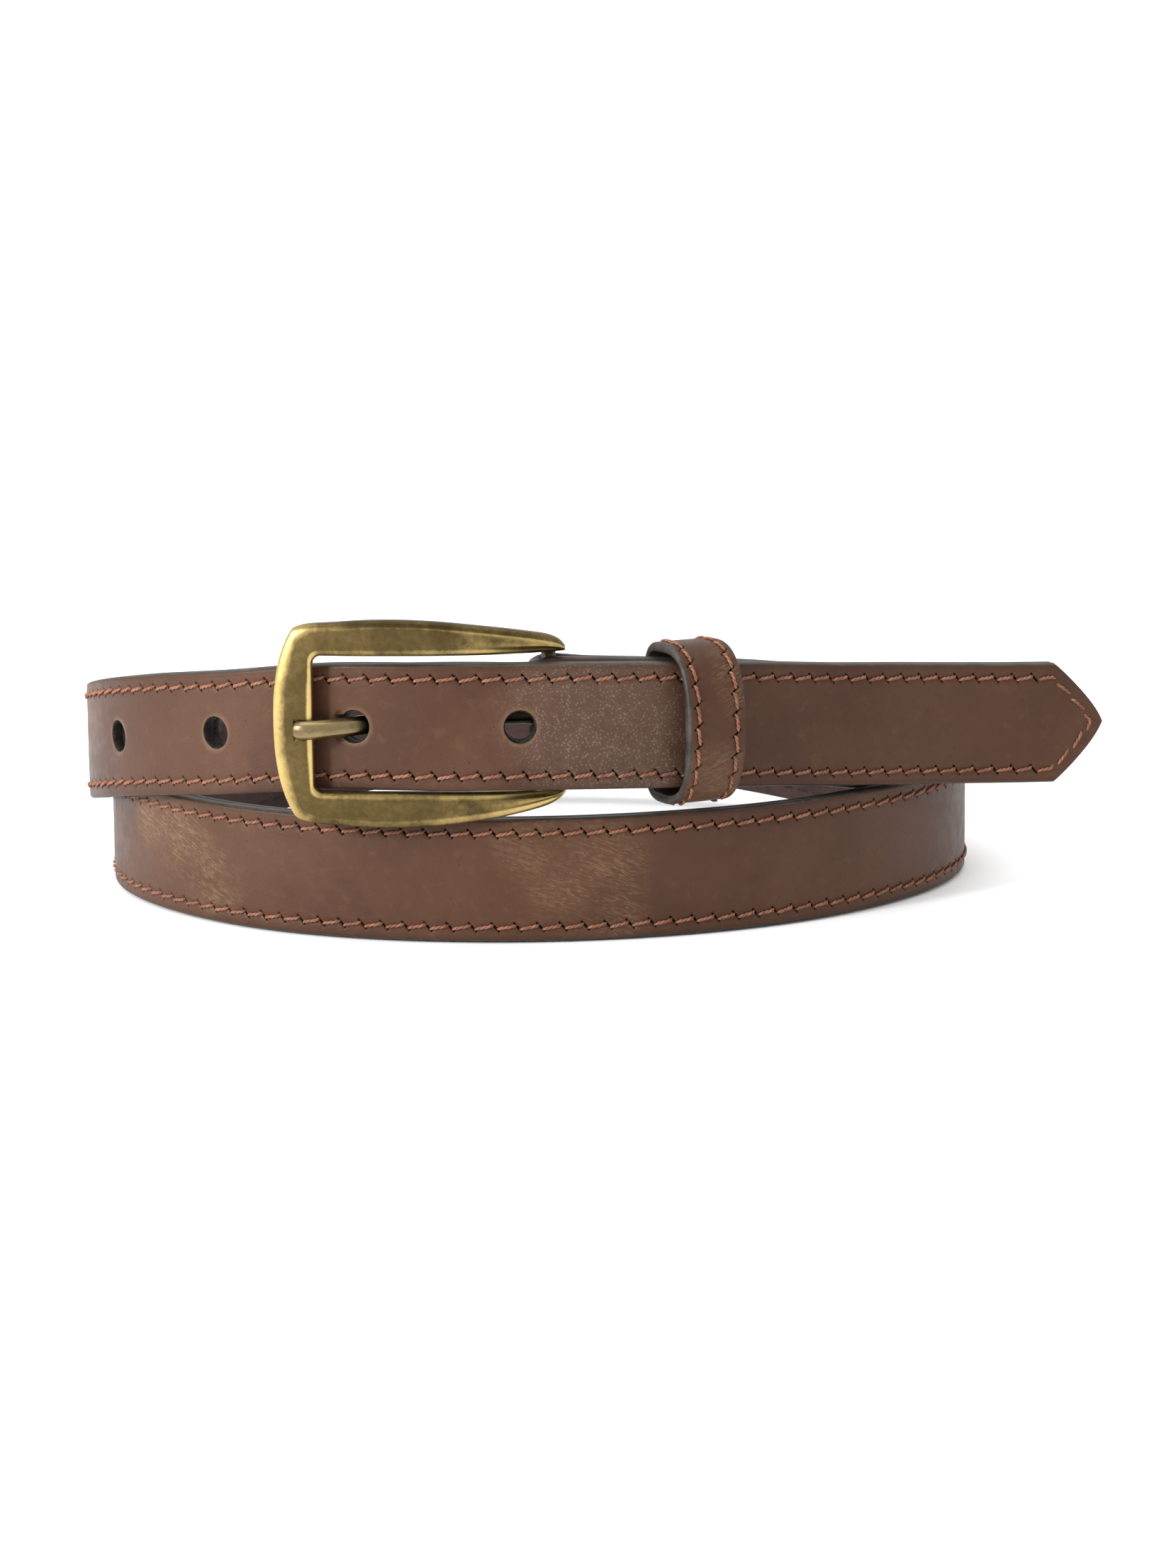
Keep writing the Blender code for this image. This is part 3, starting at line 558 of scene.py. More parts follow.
def brass_material(name, patina, bright):
    """Antique brass: mottled olive patina, and bright worn brass where the mask's first number says, which
    on the frame also holds a painted highlight. The mask's second number darkens it: painted shade."""
    sh = Shader(name, Metallic=1.0)
    place = sh.object_place()
    cloud = sh.noise(place, 130.0, 5.0, 0.62, 0.4)
    grit = sh.noise(place, 1100.0, 4.0, 0.65)
    rub, dark, _ = sh.split(sh.uv("mask"))
    uneven = sh.times(sh.minus(cloud, 0.5), 0.55)
    uneven = sh.plus(uneven, sh.times(sh.minus(grit, 0.5), 0.35))
    bright_amount = sh.ramp(sh.plus(rub, uneven), 0.12, 1.0)
    colour = sh.mix(sh.ramp(cloud, 0.3, 0.7), shade(patina, 0.78), shade(patina, 1.3))
    colour = sh.mix(sh.ramp(grit, 0.35, 0.6, 0.35, 0.0), colour, shade(patina, 0.5))
    colour = sh.mix(sh.ramp(grit, 0.6, 0.75, 0.0, 0.3), colour, shade(patina, 1.8))
    colour = sh.mix(bright_amount, colour, bright)
    # The mask's second number darkens towards black: painted shade.
    colour = sh.mix(dark, colour, shade(patina, 0.16))
    sh.drive("Base Color", colour)
    sh.drive("Roughness", sh.plus(sh.ramp(bright_amount, 0.0, 1.0, 0.42, 0.26), sh.times(grit, 0.08)))
    sh.drive("Normal", sh.bump(grit, 0.00003, 0.3))
    return sh.material


strap_grain = grain_material(
    "strap_leather",
    creases=(
        *((329.0, 11.0, 5.0, 7.0), (335.0, 12.0, 1.5, 9.0), (342.0, 10.0, -3.0, 7.0)),
        *((401.0, 11.0, 5.0, 8.0), (406.0, 12.0, 1.0, 12.0), (408.0, 10.0, -4.0, 10.0)),
    ),
    sheen_patches=((834.0, 15.0, 2.0, 17.0), (843.0, 20.0, -2.0, 17.0)),
    angle=20.0,
)
keeper_grain = grain_material(
    "keeper_leather",
    creases=((43.0, 9.0, 0.0, 10.0), (50.0, 10.0, 0.0, 10.0), (25.0, 9.0, 3.0, 4.0)),
    sheen_patches=((15.0, 1.0, 0.0, 1.0),),
    angle=70.0,
    holes=False,
)
painted = edge_material()
# Near black on the walls of the holes, slots and rivet holes: their dark edge paint, darkened further as
# painted shade inside them.
shaded_hole_wall = two_tone_material(
    "shaded_hole_wall",
    *(1200.0, 0.35, 0.65, (0.008, 0.006, 0.0055, 1.0), (0.022, 0.018, 0.016, 1.0)),
    Roughness=0.7,
    Specular_IOR_Level=0.1,
)
lining_leather = lining_material()
rust_thread = thread_material("rust_thread", (0.16, 0.062, 0.034, 1.0), (0.29, 0.125, 0.07, 1.0))
dark_thread = thread_material("dark_thread", (0.02, 0.012, 0.011, 1.0), (0.04, 0.026, 0.022, 1.0))
frame_brass = brass_material("antique_brass", (0.098, 0.068, 0.027, 1.0), (0.6, 0.44, 0.165, 1.0))
prong_brass = brass_material("prong_brass", (0.1, 0.075, 0.042, 1.0), (0.28, 0.21, 0.105, 1.0))
rivet_brass = brass_material("rivet_brass", (0.15, 0.1, 0.045, 1.0), (0.5, 0.38, 0.17, 1.0))
bar_steel = two_tone_material(
    "bar_steel",
    *(700.0, 0.3, 0.7, (0.05, 0.042, 0.033, 1.0), (0.1, 0.085, 0.068, 1.0)),
    Metallic=0.9,
    Roughness=0.42,
)


# ---------------- strap


GRAIN_ROWS = (  # places across the grain side, from its middle to its painted edge
    *(0.0, 1.35, 2.7, 4.0, 5.2, 6.0, 6.35, 6.57, 6.72, 6.92, 7.1),
    *(7.275, 7.45, 7.63, 7.83, 7.98, 8.2, 8.5, 8.8),
)


def mirrored(points):
    """The same (across, depth) points on the strap's other side, in turn."""
    return [(-v, depth) for v, depth in points[::-1]]


def face_section():
    """Ring of (across, depth) round the face leather."""
    rows = [(v, 0.0) for v in GRAIN_ROWS]
    edge = [(9.05, 0.05), (9.27, 0.2), (9.44, 0.45), (HALF_WIDTH, 0.8)]
    edge += [(HALF_WIDTH, FACE_DEPTH - 0.2), (9.4, FACE_DEPTH)]
    back = [(v, FACE_DEPTH) for v in (7.0, 3.5, 0.0, -3.5, -7.0)]
    return mirrored(rows[1:]) + rows + edge + back + mirrored(edge)


def strap_columns(start, end):
    """Distances along the strap, set close where the seams' slits are."""
    made = []
    first = math.floor(start / STITCH_PITCH)
    last = math.ceil(end / STITCH_PITCH)
    for k in range(first, last + 1):
        for step in (-0.34, -0.2, -0.1, 0.0, 0.1, 0.2, 0.34, 0.95, 1.75, 2.5):
            made.append(k * STITCH_PITCH + step)
    return [d for d in made if start <= d <= end]


def slit_at(phase, pitch, to_seam):
    """How much of a slit is open here, from 0 to 1."""
    off = abs(phase - round(phase)) * pitch
    return math.exp(-((off / SLIT_HALF_WIDTH) ** 4)) * max(0.0, 1 - (to_seam / SLIT_HALF_LENGTH) ** 4)


def edge_fall(across):
    """How far the grain has worn down beside its painted edges."""
    return 0.05 * smooth((abs(across) - 8.3) / 0.7)


def grain_dip(distance, across):
    """How far the grain sinks below its face: the seam's groove, its slits and slow waves."""
    to_seam = abs(across) - SEAM
    slit = slit_at(distance / STITCH_PITCH, STITCH_PITCH, to_seam)
    dip = 0.08 * math.exp(-((to_seam / 0.5) ** 2)) + edge_fall(across) + SLIT_DEPTH * slit
    wave = math.sin(distance * 0.31 + across * 0.21) * math.sin(distance * 0.123 - across * 0.4)
    dip += 0.03 + 0.03 * wave * smooth((8.5 - abs(across)) / 2)
    return dip, slit


def slant_window(to_seam):
    """1 along a seam and 0 away from it, over which the grid leans with the slits."""
    return 1 - smooth((abs(to_seam) - 0.7) / 0.6)


def shear(across):
    """Shift along the strap that lays the grid along the slanted slits."""
    to_seam = abs(across) - SEAM
    return SLIT_SLANT * to_seam * math.copysign(1.0, across) * slant_window(to_seam)


def face_columns():
    """(reference point at the lower edge, thickness direction, distance) down the face leather,
    from the end of the turn-back round the heel bar to the tip."""
    plan = []
    for d in np.linspace(TURN_BACK_LENGTH, 0.0, 56):
        place, _, inwards = route.at(d)
        closing = smooth(d / CLOSING_LENGTH)
        depth = 2 * FOLD_RADIUS + (TURN_BACK_OFFSET - 2 * FOLD_RADIUS) * closing
        plan.append(place + inwards * depth)
    place, along, inwards = route.at(0.0)
    centre = place + inwards * FOLD_RADIUS
    for step in range(1, 28):
        turn = math.pi * step / 28
        reach = inwards * math.cos(turn) - along * math.sin(turn)
        plan.append(centre + reach * FOLD_RADIUS)
    plan.append(place)
    steps = [np.linalg.norm(b - a) for a, b in zip(plan, plan[1:])]
    back = np.concatenate((np.cumsum(steps[::-1])[::-1], [0.0]))
    made = []
    for i, point in enumerate(plan[:-1]):
        ahead = plan[i + 1] - plan[max(i - 1, 0)]
        ahead[2] = 0.0
        ahead /= np.linalg.norm(ahead)
        made.append((point, np.array((-ahead[1], ahead[0], 0.0)), -back[i]))
    return made


def tip_columns():
    """Distances of the last columns, closer and closer to the point of the tip."""
    left = (8.0, 7.2, 6.4, 5.6, 4.8, 4.0, 3.2, 2.5, 1.9, 1.4, 0.95, 0.6, 0.33, 0.15, 0.04)
    return [route.length - step for step in left]


def settled(distance, across):
    """Place across the strap, where its free end has spread downwards and its fold has drawn in."""
    spread = FREE_END_SPREAD * smooth((distance - FREE_END) / 60) * smooth(-across / HALF_WIDTH)
    return across * (1 - FOLD_NARROWING * math.exp(-(((distance + 5.2) / 3.4) ** 2))) - spread


def narrowed(across, distance):
    """Place across the strap, where its tip has narrowed."""
    narrow = half_width(distance)
    if narrow == HALF_WIDTH:
        return across
    return across * max(narrow - 0.25, 0.02) / (HALF_WIDTH - 0.25)


def strap_rings(section, columns, depth_in, grain):
    """Rings, strap coordinates and masks of a layer. A column is a distance, or as face_columns says."""
    rings, uvs, masks = [], [], []
    for column in columns:
        ring, uv, mask = [], [], []
        for across, depth in section:
            on_grain = grain and depth == 0.0
            dip, slit = edge_fall(across) if on_grain else 0.0, 0.0
            if isinstance(column, tuple):
                base, inwards, distance = column
            else:
                distance = column
                if on_grain and 1.0 < column < route.length - TIP_POINT_LENGTH - 1.0:
                    distance += shear(across)
                    dip, slit = grain_dip(column, across)
                base, _, inwards = route.at(distance)
                across = narrowed(across, column)
            up = HALF_WIDTH + settled(distance, across)
            ring.append(base + UP * up + inwards * (depth_in + depth + dip))
            uv.append((distance * MM, across * MM))
            # The mask's first number is the painted shade in the slits, its second how near the painted
            # edge the point is.
            mask.append((min(1.0, slit * 2.2), smooth((abs(across) - 8.2) / 0.8)))
        rings.append(ring)
        uvs.append(uv)
        masks.append(mask)
    return rings, uvs, masks


def prong_slant_mesh():
    """A slot along the prong's slant, with room for its swing."""
    start, end = (prong_centre(-x) + np.array((0.0, y, 0.0)) for x, y in PRONG_SLANT)
    slope = (end - start) / np.linalg.norm(end - start)
    side = np.cross(UP, slope)
    corners = [(out, up * PRONG_SLOT_HALF) for out, up in ((-1.25, -1), (2.0, -1), (2.0, 1), (-1.25, 1))]
    rings = [[place + side * out + UP * up for out, up in corners] for place in (start, end)]
    return grid_mesh("slant", rings)


def box_mesh(name, matrix, low, high):
    rings = []
    for x in (low[0], high[0]):
        ring = [(x, low[1], low[2]), (x, high[1], low[2]), (x, high[1], high[2]), (x, low[1], high[2])]
        rings.append([matrix @ Vector(p) for p in ring])
    return grid_mesh(name, rings)


def strap_cutters():
    """The holes, the prong's slant through the strap, its slot in the fold, and the rivets' holes."""
    hole = [(2.95, 0.8), (2.75, 0.1), (2.52, -0.06), (2.38, -0.22), (2.31, -0.5), (HOLE_RADIUS, -3.6)]
    matrix = axes_matrix(prong_centre(), (0, 0, 1), route.at(0.0)[1])
    slot = box_mesh("slot", matrix, (-3.9, -3.8, -PRONG_SLOT_HALF), (4.3, 3.8, PRONG_SLOT_HALF))
    meshes = [turned_mesh("hole", hole, grain_axes(distance)) for distance in hole_distances()]
    meshes += [prong_slant_mesh(), slot]
    for distance in RIVET_DISTANCES:
        meshes.append(turned_mesh("rivet", [(2.1, 1.0), (2.1, -5.0)], grain_axes(distance), 24))
    return [add_cutter(f"cut_{i}", mesh, shaded_hole_wall) for i, mesh in enumerate(meshes)]


def make_face():
    """The face leather, with grain on its front, painted edges and a rough back."""
    columns = face_columns() + strap_columns(0.0, route.length - TIP_POINT_LENGTH) + tip_columns()
    rings, uvs, masks = strap_rings(face_section(), columns, 0.0, True)
    slots = [0] * (2 * len(GRAIN_ROWS)) + [1] * 4 + [2] * 6 + [1] * 4 + [0] * 2
    mesh = grid_mesh("strap_leather", rings, uv=uvs, masks=masks, slots=slots)
    return link("belt_strap", mesh, (strap_grain, painted, lining_leather))


def make_lining():
    """The lining leather, with painted edges and a soft inside."""
    start = TURN_BACK_LENGTH + 1.3
    columns = [*np.arange(start, route.length - TIP_POINT_LENGTH, 1.4), *tip_columns()]
    section = lining_section()
    rings, uvs, masks = strap_rings(section, columns, LINING_DEPTH, False)
    slots = [2 if abs(across) < 9.0 and depth > 1 else 1 for across, depth in section]
    mesh = grid_mesh("strap_lining_leather", rings, uv=uvs, masks=masks, slots=slots)
    return link("belt_lining", mesh, (strap_grain, painted, lining_leather))


def make_strap():
    face = make_face()
    lining = make_lining()
    cutters = strap_cutters()
    for cutter in cutters:
        cut(face, cutter)
    for cutter in cutters[: HOLE_COUNT + 1]:
        cut(lining, cutter)
    settle(face)
    settle(lining, *cutters)
    for obj, node, slot in (
        (face, "strap_face", "face_leather"),
        (lining, "strap_lining", "lining_leather"),
    ):
        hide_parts(node)
        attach(obj, "strap")


def lining_section():
    """Ring of (across, depth) of the lining: flat where it is glued, rounded at its outer edges."""
    depth = STRAP_THICKNESS - LINING_DEPTH
    inner = [(v, 0.0) for v in (-9.4, -4.7, 0.0, 4.7, 9.4)]
    edge = [(HALF_WIDTH, 0.2), (HALF_WIDTH, depth - 0.5)]
    edge += [(9.44, depth - 0.22), (9.28, depth - 0.06), (9.05, depth)]
    outer = [(v, depth) for v in (7.3, 4.0, 0.0, -4.0, -7.3)]
    return inner + edge + outer + mirrored(edge)


# ---------------- seams


def thread_rings(path, radius, turns, sides):
    """Rings of a two-strand twisted thread along the path, which is a list of (point, out)."""
    rings, masks = [], []
    count = len(path)
    for i, (point, out) in enumerate(path):
        ahead = path[min(i + 1, count - 1)][0] - path[max(i - 1, 0)][0]
        ahead /= np.linalg.norm(ahead)
        side = np.cross(ahead, out)
        side /= np.linalg.norm(side)
        up = np.cross(side, ahead)
        twist = 2 * math.pi * turns * i / (count - 1)
        end = min(i, count - 1 - i)
        taper = (0.55, 0.85, 1.0)[min(end, 2)]
        ring, mask = [], []
        for k in range(sides):
            turn = 2 * math.pi * k / sides
            lobe = math.cos(2 * (turn - twist))
            reach = radius * taper * (0.9 + 0.17 * lobe)
            ring.append(point + side * math.cos(turn) * reach + up * math.sin(turn) * reach * 0.88)
            mask.append((0.5 + 0.5 * lobe, 0.0))
        rings.append(ring)
        masks.append(mask)
    return rings, masks


class ThreadPile:
    """Threads gathered into one mesh."""

    def __init__(self):
        self.verts, self.faces, self.masks = [], [], []

    def add(self, rings, masks):
        base = len(self.verts)
        size = len(rings[0])
        for ring, mask in zip(rings, masks):
            self.verts += [tuple(p * MM) for p in ring]
            self.masks += mask
        for j in range(len(rings) - 1):
            for i in range(size):
                k = (i + 1) % size
                a, b = base + j * size, base + (j + 1) * size
                self.faces.append((a + i, b + i, b + k, a + k))
        self.faces.append(tuple(base + i for i in range(size)))
        last = base + (len(rings) - 1) * size
        self.faces.append(tuple(last + i for i in range(size))[::-1])

    def mesh(self, name):
        mesh = bpy.data.meshes.new(name)
        mesh.from_pydata(self.verts, [], self.faces)
        add_layer(mesh, "mask", self.masks)
        mesh.shade_smooth()
        return outward(mesh)


def one_stitch(pile, surface, start, across, pitch, seed, *, rings, sides, rise, lift, radius):
    """A stitch from one slit to the next. surface(along, across, height) gives (point, out)."""
    wobble = (scatter(seed, 1.0) - 0.5) * 0.07
    lean = rise * (0.85 + 0.3 * scatter(seed, 2.0))
    path = []
    for i in range(rings):
        t = i / (rings - 1)
        along = start + 0.24 + (pitch - 0.48) * t
        over = across + (2 * t - 1) * lean + wobble + 0.06 * math.sin(math.pi * 2 * t)
        arch = min(1.0, 5.0 * t, 5.0 * (1 - t))
        height = -THREAD_SUNK + (lift + THREAD_SUNK) * math.sin(arch * math.pi / 2)
        path.append(surface(along, over, height))
    pile.add(*thread_rings(path, radius, 1.7 + 0.4 * scatter(seed, 3.0), sides))


def strap_surface(along, across, height):
    place, _, inwards = route.at(along)
    middle = place + UP * (HALF_WIDTH + settled(along, across))
    return middle - inwards * height, -inwards


def lining_surface(along, across, height):
    place, _, inwards = route.at(along)
    middle = place + UP * (HALF_WIDTH + settled(along, across))
    return middle + inwards * (STRAP_THICKNESS + height), inwards


def tip_seam():
    """(distance, across) of the seam round the point of the tip, from its lower to its upper side."""
    straight = np.linspace(TIP_POINT_LENGTH + 6, TIP_POINT_LENGTH, 8)
    point = np.linspace(TIP_POINT_LENGTH - 0.3, 0.02, 40)
    lower = [(d, -half_width(d)) for d in route.length - np.concatenate((straight, point))]
    outline = np.array(lower + [(d, -v) for d, v in lower[::-1]])
    ahead = np.gradient(outline, axis=0)
    ahead /= np.linalg.norm(ahead, axis=1)[:, None]
    inner = outline + np.column_stack((-ahead[:, 1], ahead[:, 0])) * SEAM_INSET
    kept = [p for p in inner if min(np.linalg.norm(outline - p, axis=1)) > SEAM_INSET * 0.985]
    return np.array(kept)


def make_seams():
    """The stitches along both edges and round the tip, in front and on the lining."""
    last_whole = math.floor((route.length - TIP_POINT_LENGTH - 1.5) / STITCH_PITCH)
    front, back = ThreadPile(), ThreadPile()
    for side in (-1, 1):
        for k in range(2, last_whole):
            start = k * STITCH_PITCH
            place = (start, side * SEAM, STITCH_PITCH)
            one_stitch(front, strap_surface, *place, k + side * 0.37, **FRONT_THREAD)
            if start > TURN_BACK_LENGTH + 2:
                one_stitch(back, lining_surface, *place, k, **BACK_THREAD)
    seam = tip_seam()
    seam = seam[seam[:, 0] > last_whole * STITCH_PITCH - 0.01]
    steps = np.concatenate(([0.0], np.cumsum(np.linalg.norm(np.diff(seam, axis=0), axis=1))))
    count = round(steps[-1] / STITCH_PITCH)
    pitch = steps[-1] / count

    def at(along):
        return np.array([np.interp(along, steps, seam[:, i]) for i in (0, 1)])

    def round_tip(face):
        """The same surface by distance along the tip's seam, and across that seam."""

        def surface(along, across, height):
            ahead = at(along + 0.4) - at(along - 0.4)
            ahead /= np.linalg.norm(ahead)
            d, v = at(along) + np.array((-ahead[1], ahead[0])) * across
            return face(d, v, height)

        return surface

    for k in range(count):
        place = (k * pitch, 0.0, pitch)
        one_stitch(front, round_tip(strap_surface), *place, k + 0.7, **FRONT_THREAD)
        one_stitch(back, round_tip(lining_surface), *place, k, **BACK_THREAD)
    piles = ((front, "strap_stitches", rust_thread), (back, "lining_stitches", dark_thread))
    for pile, name, thread in piles:
        obj = link(name, pile.mesh(name), (thread,))
        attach(obj, "strap")


# ---------------- buckle


def frame_bow(u):
    """How far the frame's middle is ahead of the heel bar, at a distance from its closed side."""
    knots, values = zip(*FRAME_BOW)
    return float(natural_spline(knots, values, np.array([u]))[0])


def inner_point(step):
    """A point of the opening's edge, by distance from its middle along its upper half."""
    straight = OPENING_HALF_HEIGHT - INNER_CORNER_RADIUS
    if step <= straight:
        return np.array((INNER_SIDE, step))
    turn = (step - straight) / INNER_CORNER_RADIUS
    centre = np.array((INNER_SIDE + INNER_CORNER_RADIUS, straight))
    if turn < math.pi / 2:
        return centre + INNER_CORNER_RADIUS * np.array((-math.cos(turn), math.sin(turn)))
    beyond = step - straight - INNER_CORNER_RADIUS * math.pi / 2
    return centre + np.array((beyond, INNER_CORNER_RADIUS))


def frame_outline(count=150):
    """(inner, outer) points along the frame's upper half, from the middle of its closed side."""
    edge = np.array(FRAME_EDGE + (FRAME_NOSE,))
    both = np.vstack((edge[:0:-1] * (1, -1), edge))
    steps = np.concatenate(([0.0], np.cumsum(np.linalg.norm(np.diff(both, axis=0), axis=1))))
    steps -= steps[len(edge) - 1]
    corner = OPENING_HALF_HEIGHT - INNER_CORNER_RADIUS
    arc = INNER_CORNER_RADIUS * math.pi / 2
    ahead = [
        corner * i / (FRAME_LEG_STATIONS - 2)
        if i < FRAME_LEG_STATIONS - 2
        else corner + arc * min(1.0, (i - FRAME_LEG_STATIONS + 2) / 3)
        for i in range(FRAME_LEG_STATIONS + 2)
    ]
    for u, _ in edge[FRAME_LEG_STATIONS + 2 :]:
        ahead.append(corner + arc + u - INNER_SIDE - INNER_CORNER_RADIUS)
    outer_steps = np.linspace(0.0, steps[-1], count)
    outer_u = natural_spline(steps, both[:, 0], outer_steps)
    outer_v = natural_spline(steps, both[:, 1], outer_steps)
    inner_steps = np.interp(outer_steps, steps[len(edge) - 1 :], ahead)
    return [(inner_point(t), np.array((u, v))) for t, u, v in zip(inner_steps, outer_u, outer_v)]


FIRST_OUTER = 13  # its place in the section's ring
OUTER_TURNS = (90, 75, 60, 45, 30, 15, 0)  # degrees round the section's outer edge


def frame_section(inner, outer):
    """Ring of (u, v, front) points round the frame there, and its mask."""
    width = np.linalg.norm(outer - inner)
    across = (outer - inner) / width
    u = outer[0]
    leg = 1 - smooth((u - 1.5) / 6.0)
    end = math.sqrt(max(0.03, 1 - max(0.0, (u - 42.2) / 2.2) ** 2))
    half = FRAME_THICKNESS / 2 * end
    outside = min(1.05 + 0.75 * leg, width * 0.4)
    inside = min(0.8, width * 0.3)
    drop = min(1.0, half * 0.75)
    # More bright brass towards the arms' ends: partly worn brass, partly a painted highlight where the
    # arms turn towards the light.
    rub_and_highlight = smooth((u - 18.0) / 26.0)
    crown = 0.05 + 0.65 * smooth((u - 22.0) / 16.0) * end
    points = [(0.0, -half + 0.45 * end, 0.1), (0.0, -0.1, 0.25)]
    for turn in np.radians((0, 18, 36, 54, 72, 90)):
        front = half - drop * (1 - math.sin(turn))
        points.append((inside * (1 - math.cos(turn)), front, 0.35 + 0.45 * leg))
    for k in (0.15, 0.4, 0.65, 0.88):
        points.append((inside + (width - inside - outside) * k, half + crown * math.sin(math.pi * k), 0.0))
    for turn in np.radians(OUTER_TURNS):
        front = half - drop * (1 - math.sin(turn))
        points.append((width - outside * (1 - math.cos(turn)), front, 0.3 + 0.55 * leg * math.cos(turn)))
    points += [(width, -half + 0.5 * end, 0.2), (width - 0.15, -half + 0.15, 0.15)]
    points += [(width * 0.8, -half, 0.1), (width * 0.2, -half, 0.1), (0.12, -half + 0.12, 0.3)]
    ring = [(*(inner + across * a), front) for a, front, _ in points]
    return ring, [(min(1.0, rub + 0.5 * rub_and_highlight), 0.0) for _, _, rub in points]


def painted_shade_on_top(mask, u):
    """The same mask with the outer rounding, which faces up on the frame's upper arm, dimmed: less bright
    brass and a darkening, painted shade.
    """
    up = smooth((u - INNER_SIDE - 0.5) / 6.0)
    turned = [(rub * (1 - 0.6 * up), 0.45 * up) for rub, _ in mask]
    last = FIRST_OUTER + len(OUTER_TURNS)
    return mask[:FIRST_OUTER] + turned[FIRST_OUTER:last] + mask[last:]


def make_frame():
    """The bowed frame, its two lugs, and the seat that the prong's point lies in."""
    sections = [frame_section(*pair) for pair in frame_outline()]
    lower = [([(u, -v, f) for u, v, f in ring], mask) for ring, mask in sections[:0:-1]]
    upper = [(ring, painted_shade_on_top(mask, ring[0][0])) for ring, mask in sections]
    centre = bar_centre()
    left = centre[0] - BAR_TO_CLOSED_SIDE
    rings = []
    for ring, _ in lower + upper:
        rings.append([(left + u, centre[1] - frame_bow(u) - f, centre[2] + v) for u, v, f in ring])
    masks = [mask for _, mask in lower + upper]
    frame_obj = link("buckle_frame_brass", grid_mesh("frame", rings, masks=masks), (frame_brass,))
    line = prong_line()
    seat = prong_mesh("seat", [line[0] + (line[0] - line[1]) * 1.5, *line[:7]], 0.16, 2.5, False)
    cutter = add_cutter("cut_seat", seat)
    cut(frame_obj, cutter)
    settle(frame_obj, cutter)
    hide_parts("buckle_frame")
    lugs = []
    for side in (1, -1):
        middle = side * (OPENING_HALF_HEIGHT + LUG_HEIGHT / 2)
        lugs.append(link(f"frame_lug_{len(lugs)}", lug_mesh(centre + UP * middle), (frame_brass,)))
    for obj in (frame_obj, *lugs):
        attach(obj, "buckle")


def lug_mesh(place):
    """A lug of round plan about the bar, reaching forward into the arm."""
    plan = [(LUG_RADIUS * math.cos(t), LUG_RADIUS * math.sin(t)) for t in np.linspace(0, math.pi, 25)]
    ahead = -frame_bow(BAR_TO_CLOSED_SIDE)
    plan += [(-LUG_RADIUS, ahead * 0.5), (-LUG_RADIUS, ahead)]
    plan += [(LUG_RADIUS - 1.2, ahead), (LUG_RADIUS - 0.2, ahead * 0.6)]
    half = LUG_HEIGHT / 2
    rings = []
    for up, shrink in ((-half, 0.9), (-half + 0.2, 1.0), (half - 0.2, 1.0), (half, 0.9)):
        rings.append([place + np.array((x * shrink, y * shrink, up)) for x, y in plan])
    return grid_mesh("lug", rings)


def prong_line(count=40):
    """Middle of the prong in plan, from its point to the end of its loop round the bar."""
    centre = prong_centre()[:2]
    knots = [centre + np.array(offset) for offset in PRONG_LINE]
    steps = np.cumsum([0.0] + [np.linalg.norm(b - a) for a, b in zip(knots, knots[1:])])
    where = np.concatenate(([0.0, 0.12, 0.3, 0.55, 0.85, 1.2], np.linspace(1.7, steps[-1], count)))
    x = natural_spline(steps, [k[0] for k in knots], where)
    y = natural_spline(steps, [k[1] for k in knots], where)
    line = [np.array(point) for point in zip(x, y)]
    loop = BAR_RADIUS + GAP + PRONG_THICKNESS / 2
    for turn in np.radians(np.arange(-76, 193, 8)):
        line.append(centre + loop * np.array((math.cos(turn), math.sin(turn))))
    return line


def prong_section(wide, thick, grow, front):
    """(across, front, rub) points round the prong: a flat back and three facets in front."""
    half = wide / 2 + grow
    deep = thick / 2
    return (
        (half - 0.3, -deep - grow, 0.2),
        (half, -deep + 0.3, 0.4),
        (half, deep * 0.15, 0.6),
        (half - 0.04, deep * 0.3, 1.0),
        (half * 0.62, deep * 0.9, 1.0),
        (half * 0.54, deep + front, 0.75),
        (0.0, deep + 0.03 + front, 0.45),
        (-half * 0.54, deep + front, 0.75),
        (-half * 0.62, deep * 0.9, 1.0),
        (-half + 0.04, deep * 0.3, 1.0),
        (-half, deep * 0.15, 0.6),
        (-half, -deep + 0.3, 0.4),
        (-half + 0.3, -deep - grow, 0.2),
    )


def prong_mesh(name, line, grow=0.0, front=0.0, rounded=True):
    rings, masks = [], []
    gone = 0.0
    for i, point in enumerate(line):
        ahead = line[min(i + 1, len(line) - 1)] - line[max(i - 1, 0)]
        ahead /= np.linalg.norm(ahead)
        side = np.array((ahead[1], -ahead[0], 0.0))
        gone += np.linalg.norm(point - line[i - 1]) if i else 0.0
        nose = math.sqrt(max(0.0, 1 - max(0.0, 1 - gone / 1.25) ** 2)) if rounded else 1.0
        wide = PRONG_WIDTH * (0.5 + 0.5 * nose)
        thick = PRONG_THICKNESS * (0.5 + 0.5 * nose)
        ahead_of_bar = prong_centre()[0] - point[0]
        middle = prong_centre(ahead_of_bar)[2]
        rise = 0.8 * smooth((ahead_of_bar - 30.0) / 8.0)
        middle -= PRONG_DROP * smooth((ahead_of_bar - 15.0) / 9.0) * (1 - rise)
        # Darker from where the prong dives into the strap and round the bar: painted shade.
        dark = smooth((gone - 8.5) / 3.5)
        ring, mask = [], []
        for across, out, rub in prong_section(wide, thick, grow, front):
            ring.append(np.array((*point, middle + across)) + side * out)
            mask.append((rub, dark))
        rings.append(ring)
        masks.append(mask)
    return grid_mesh(name, rings, masks=masks)


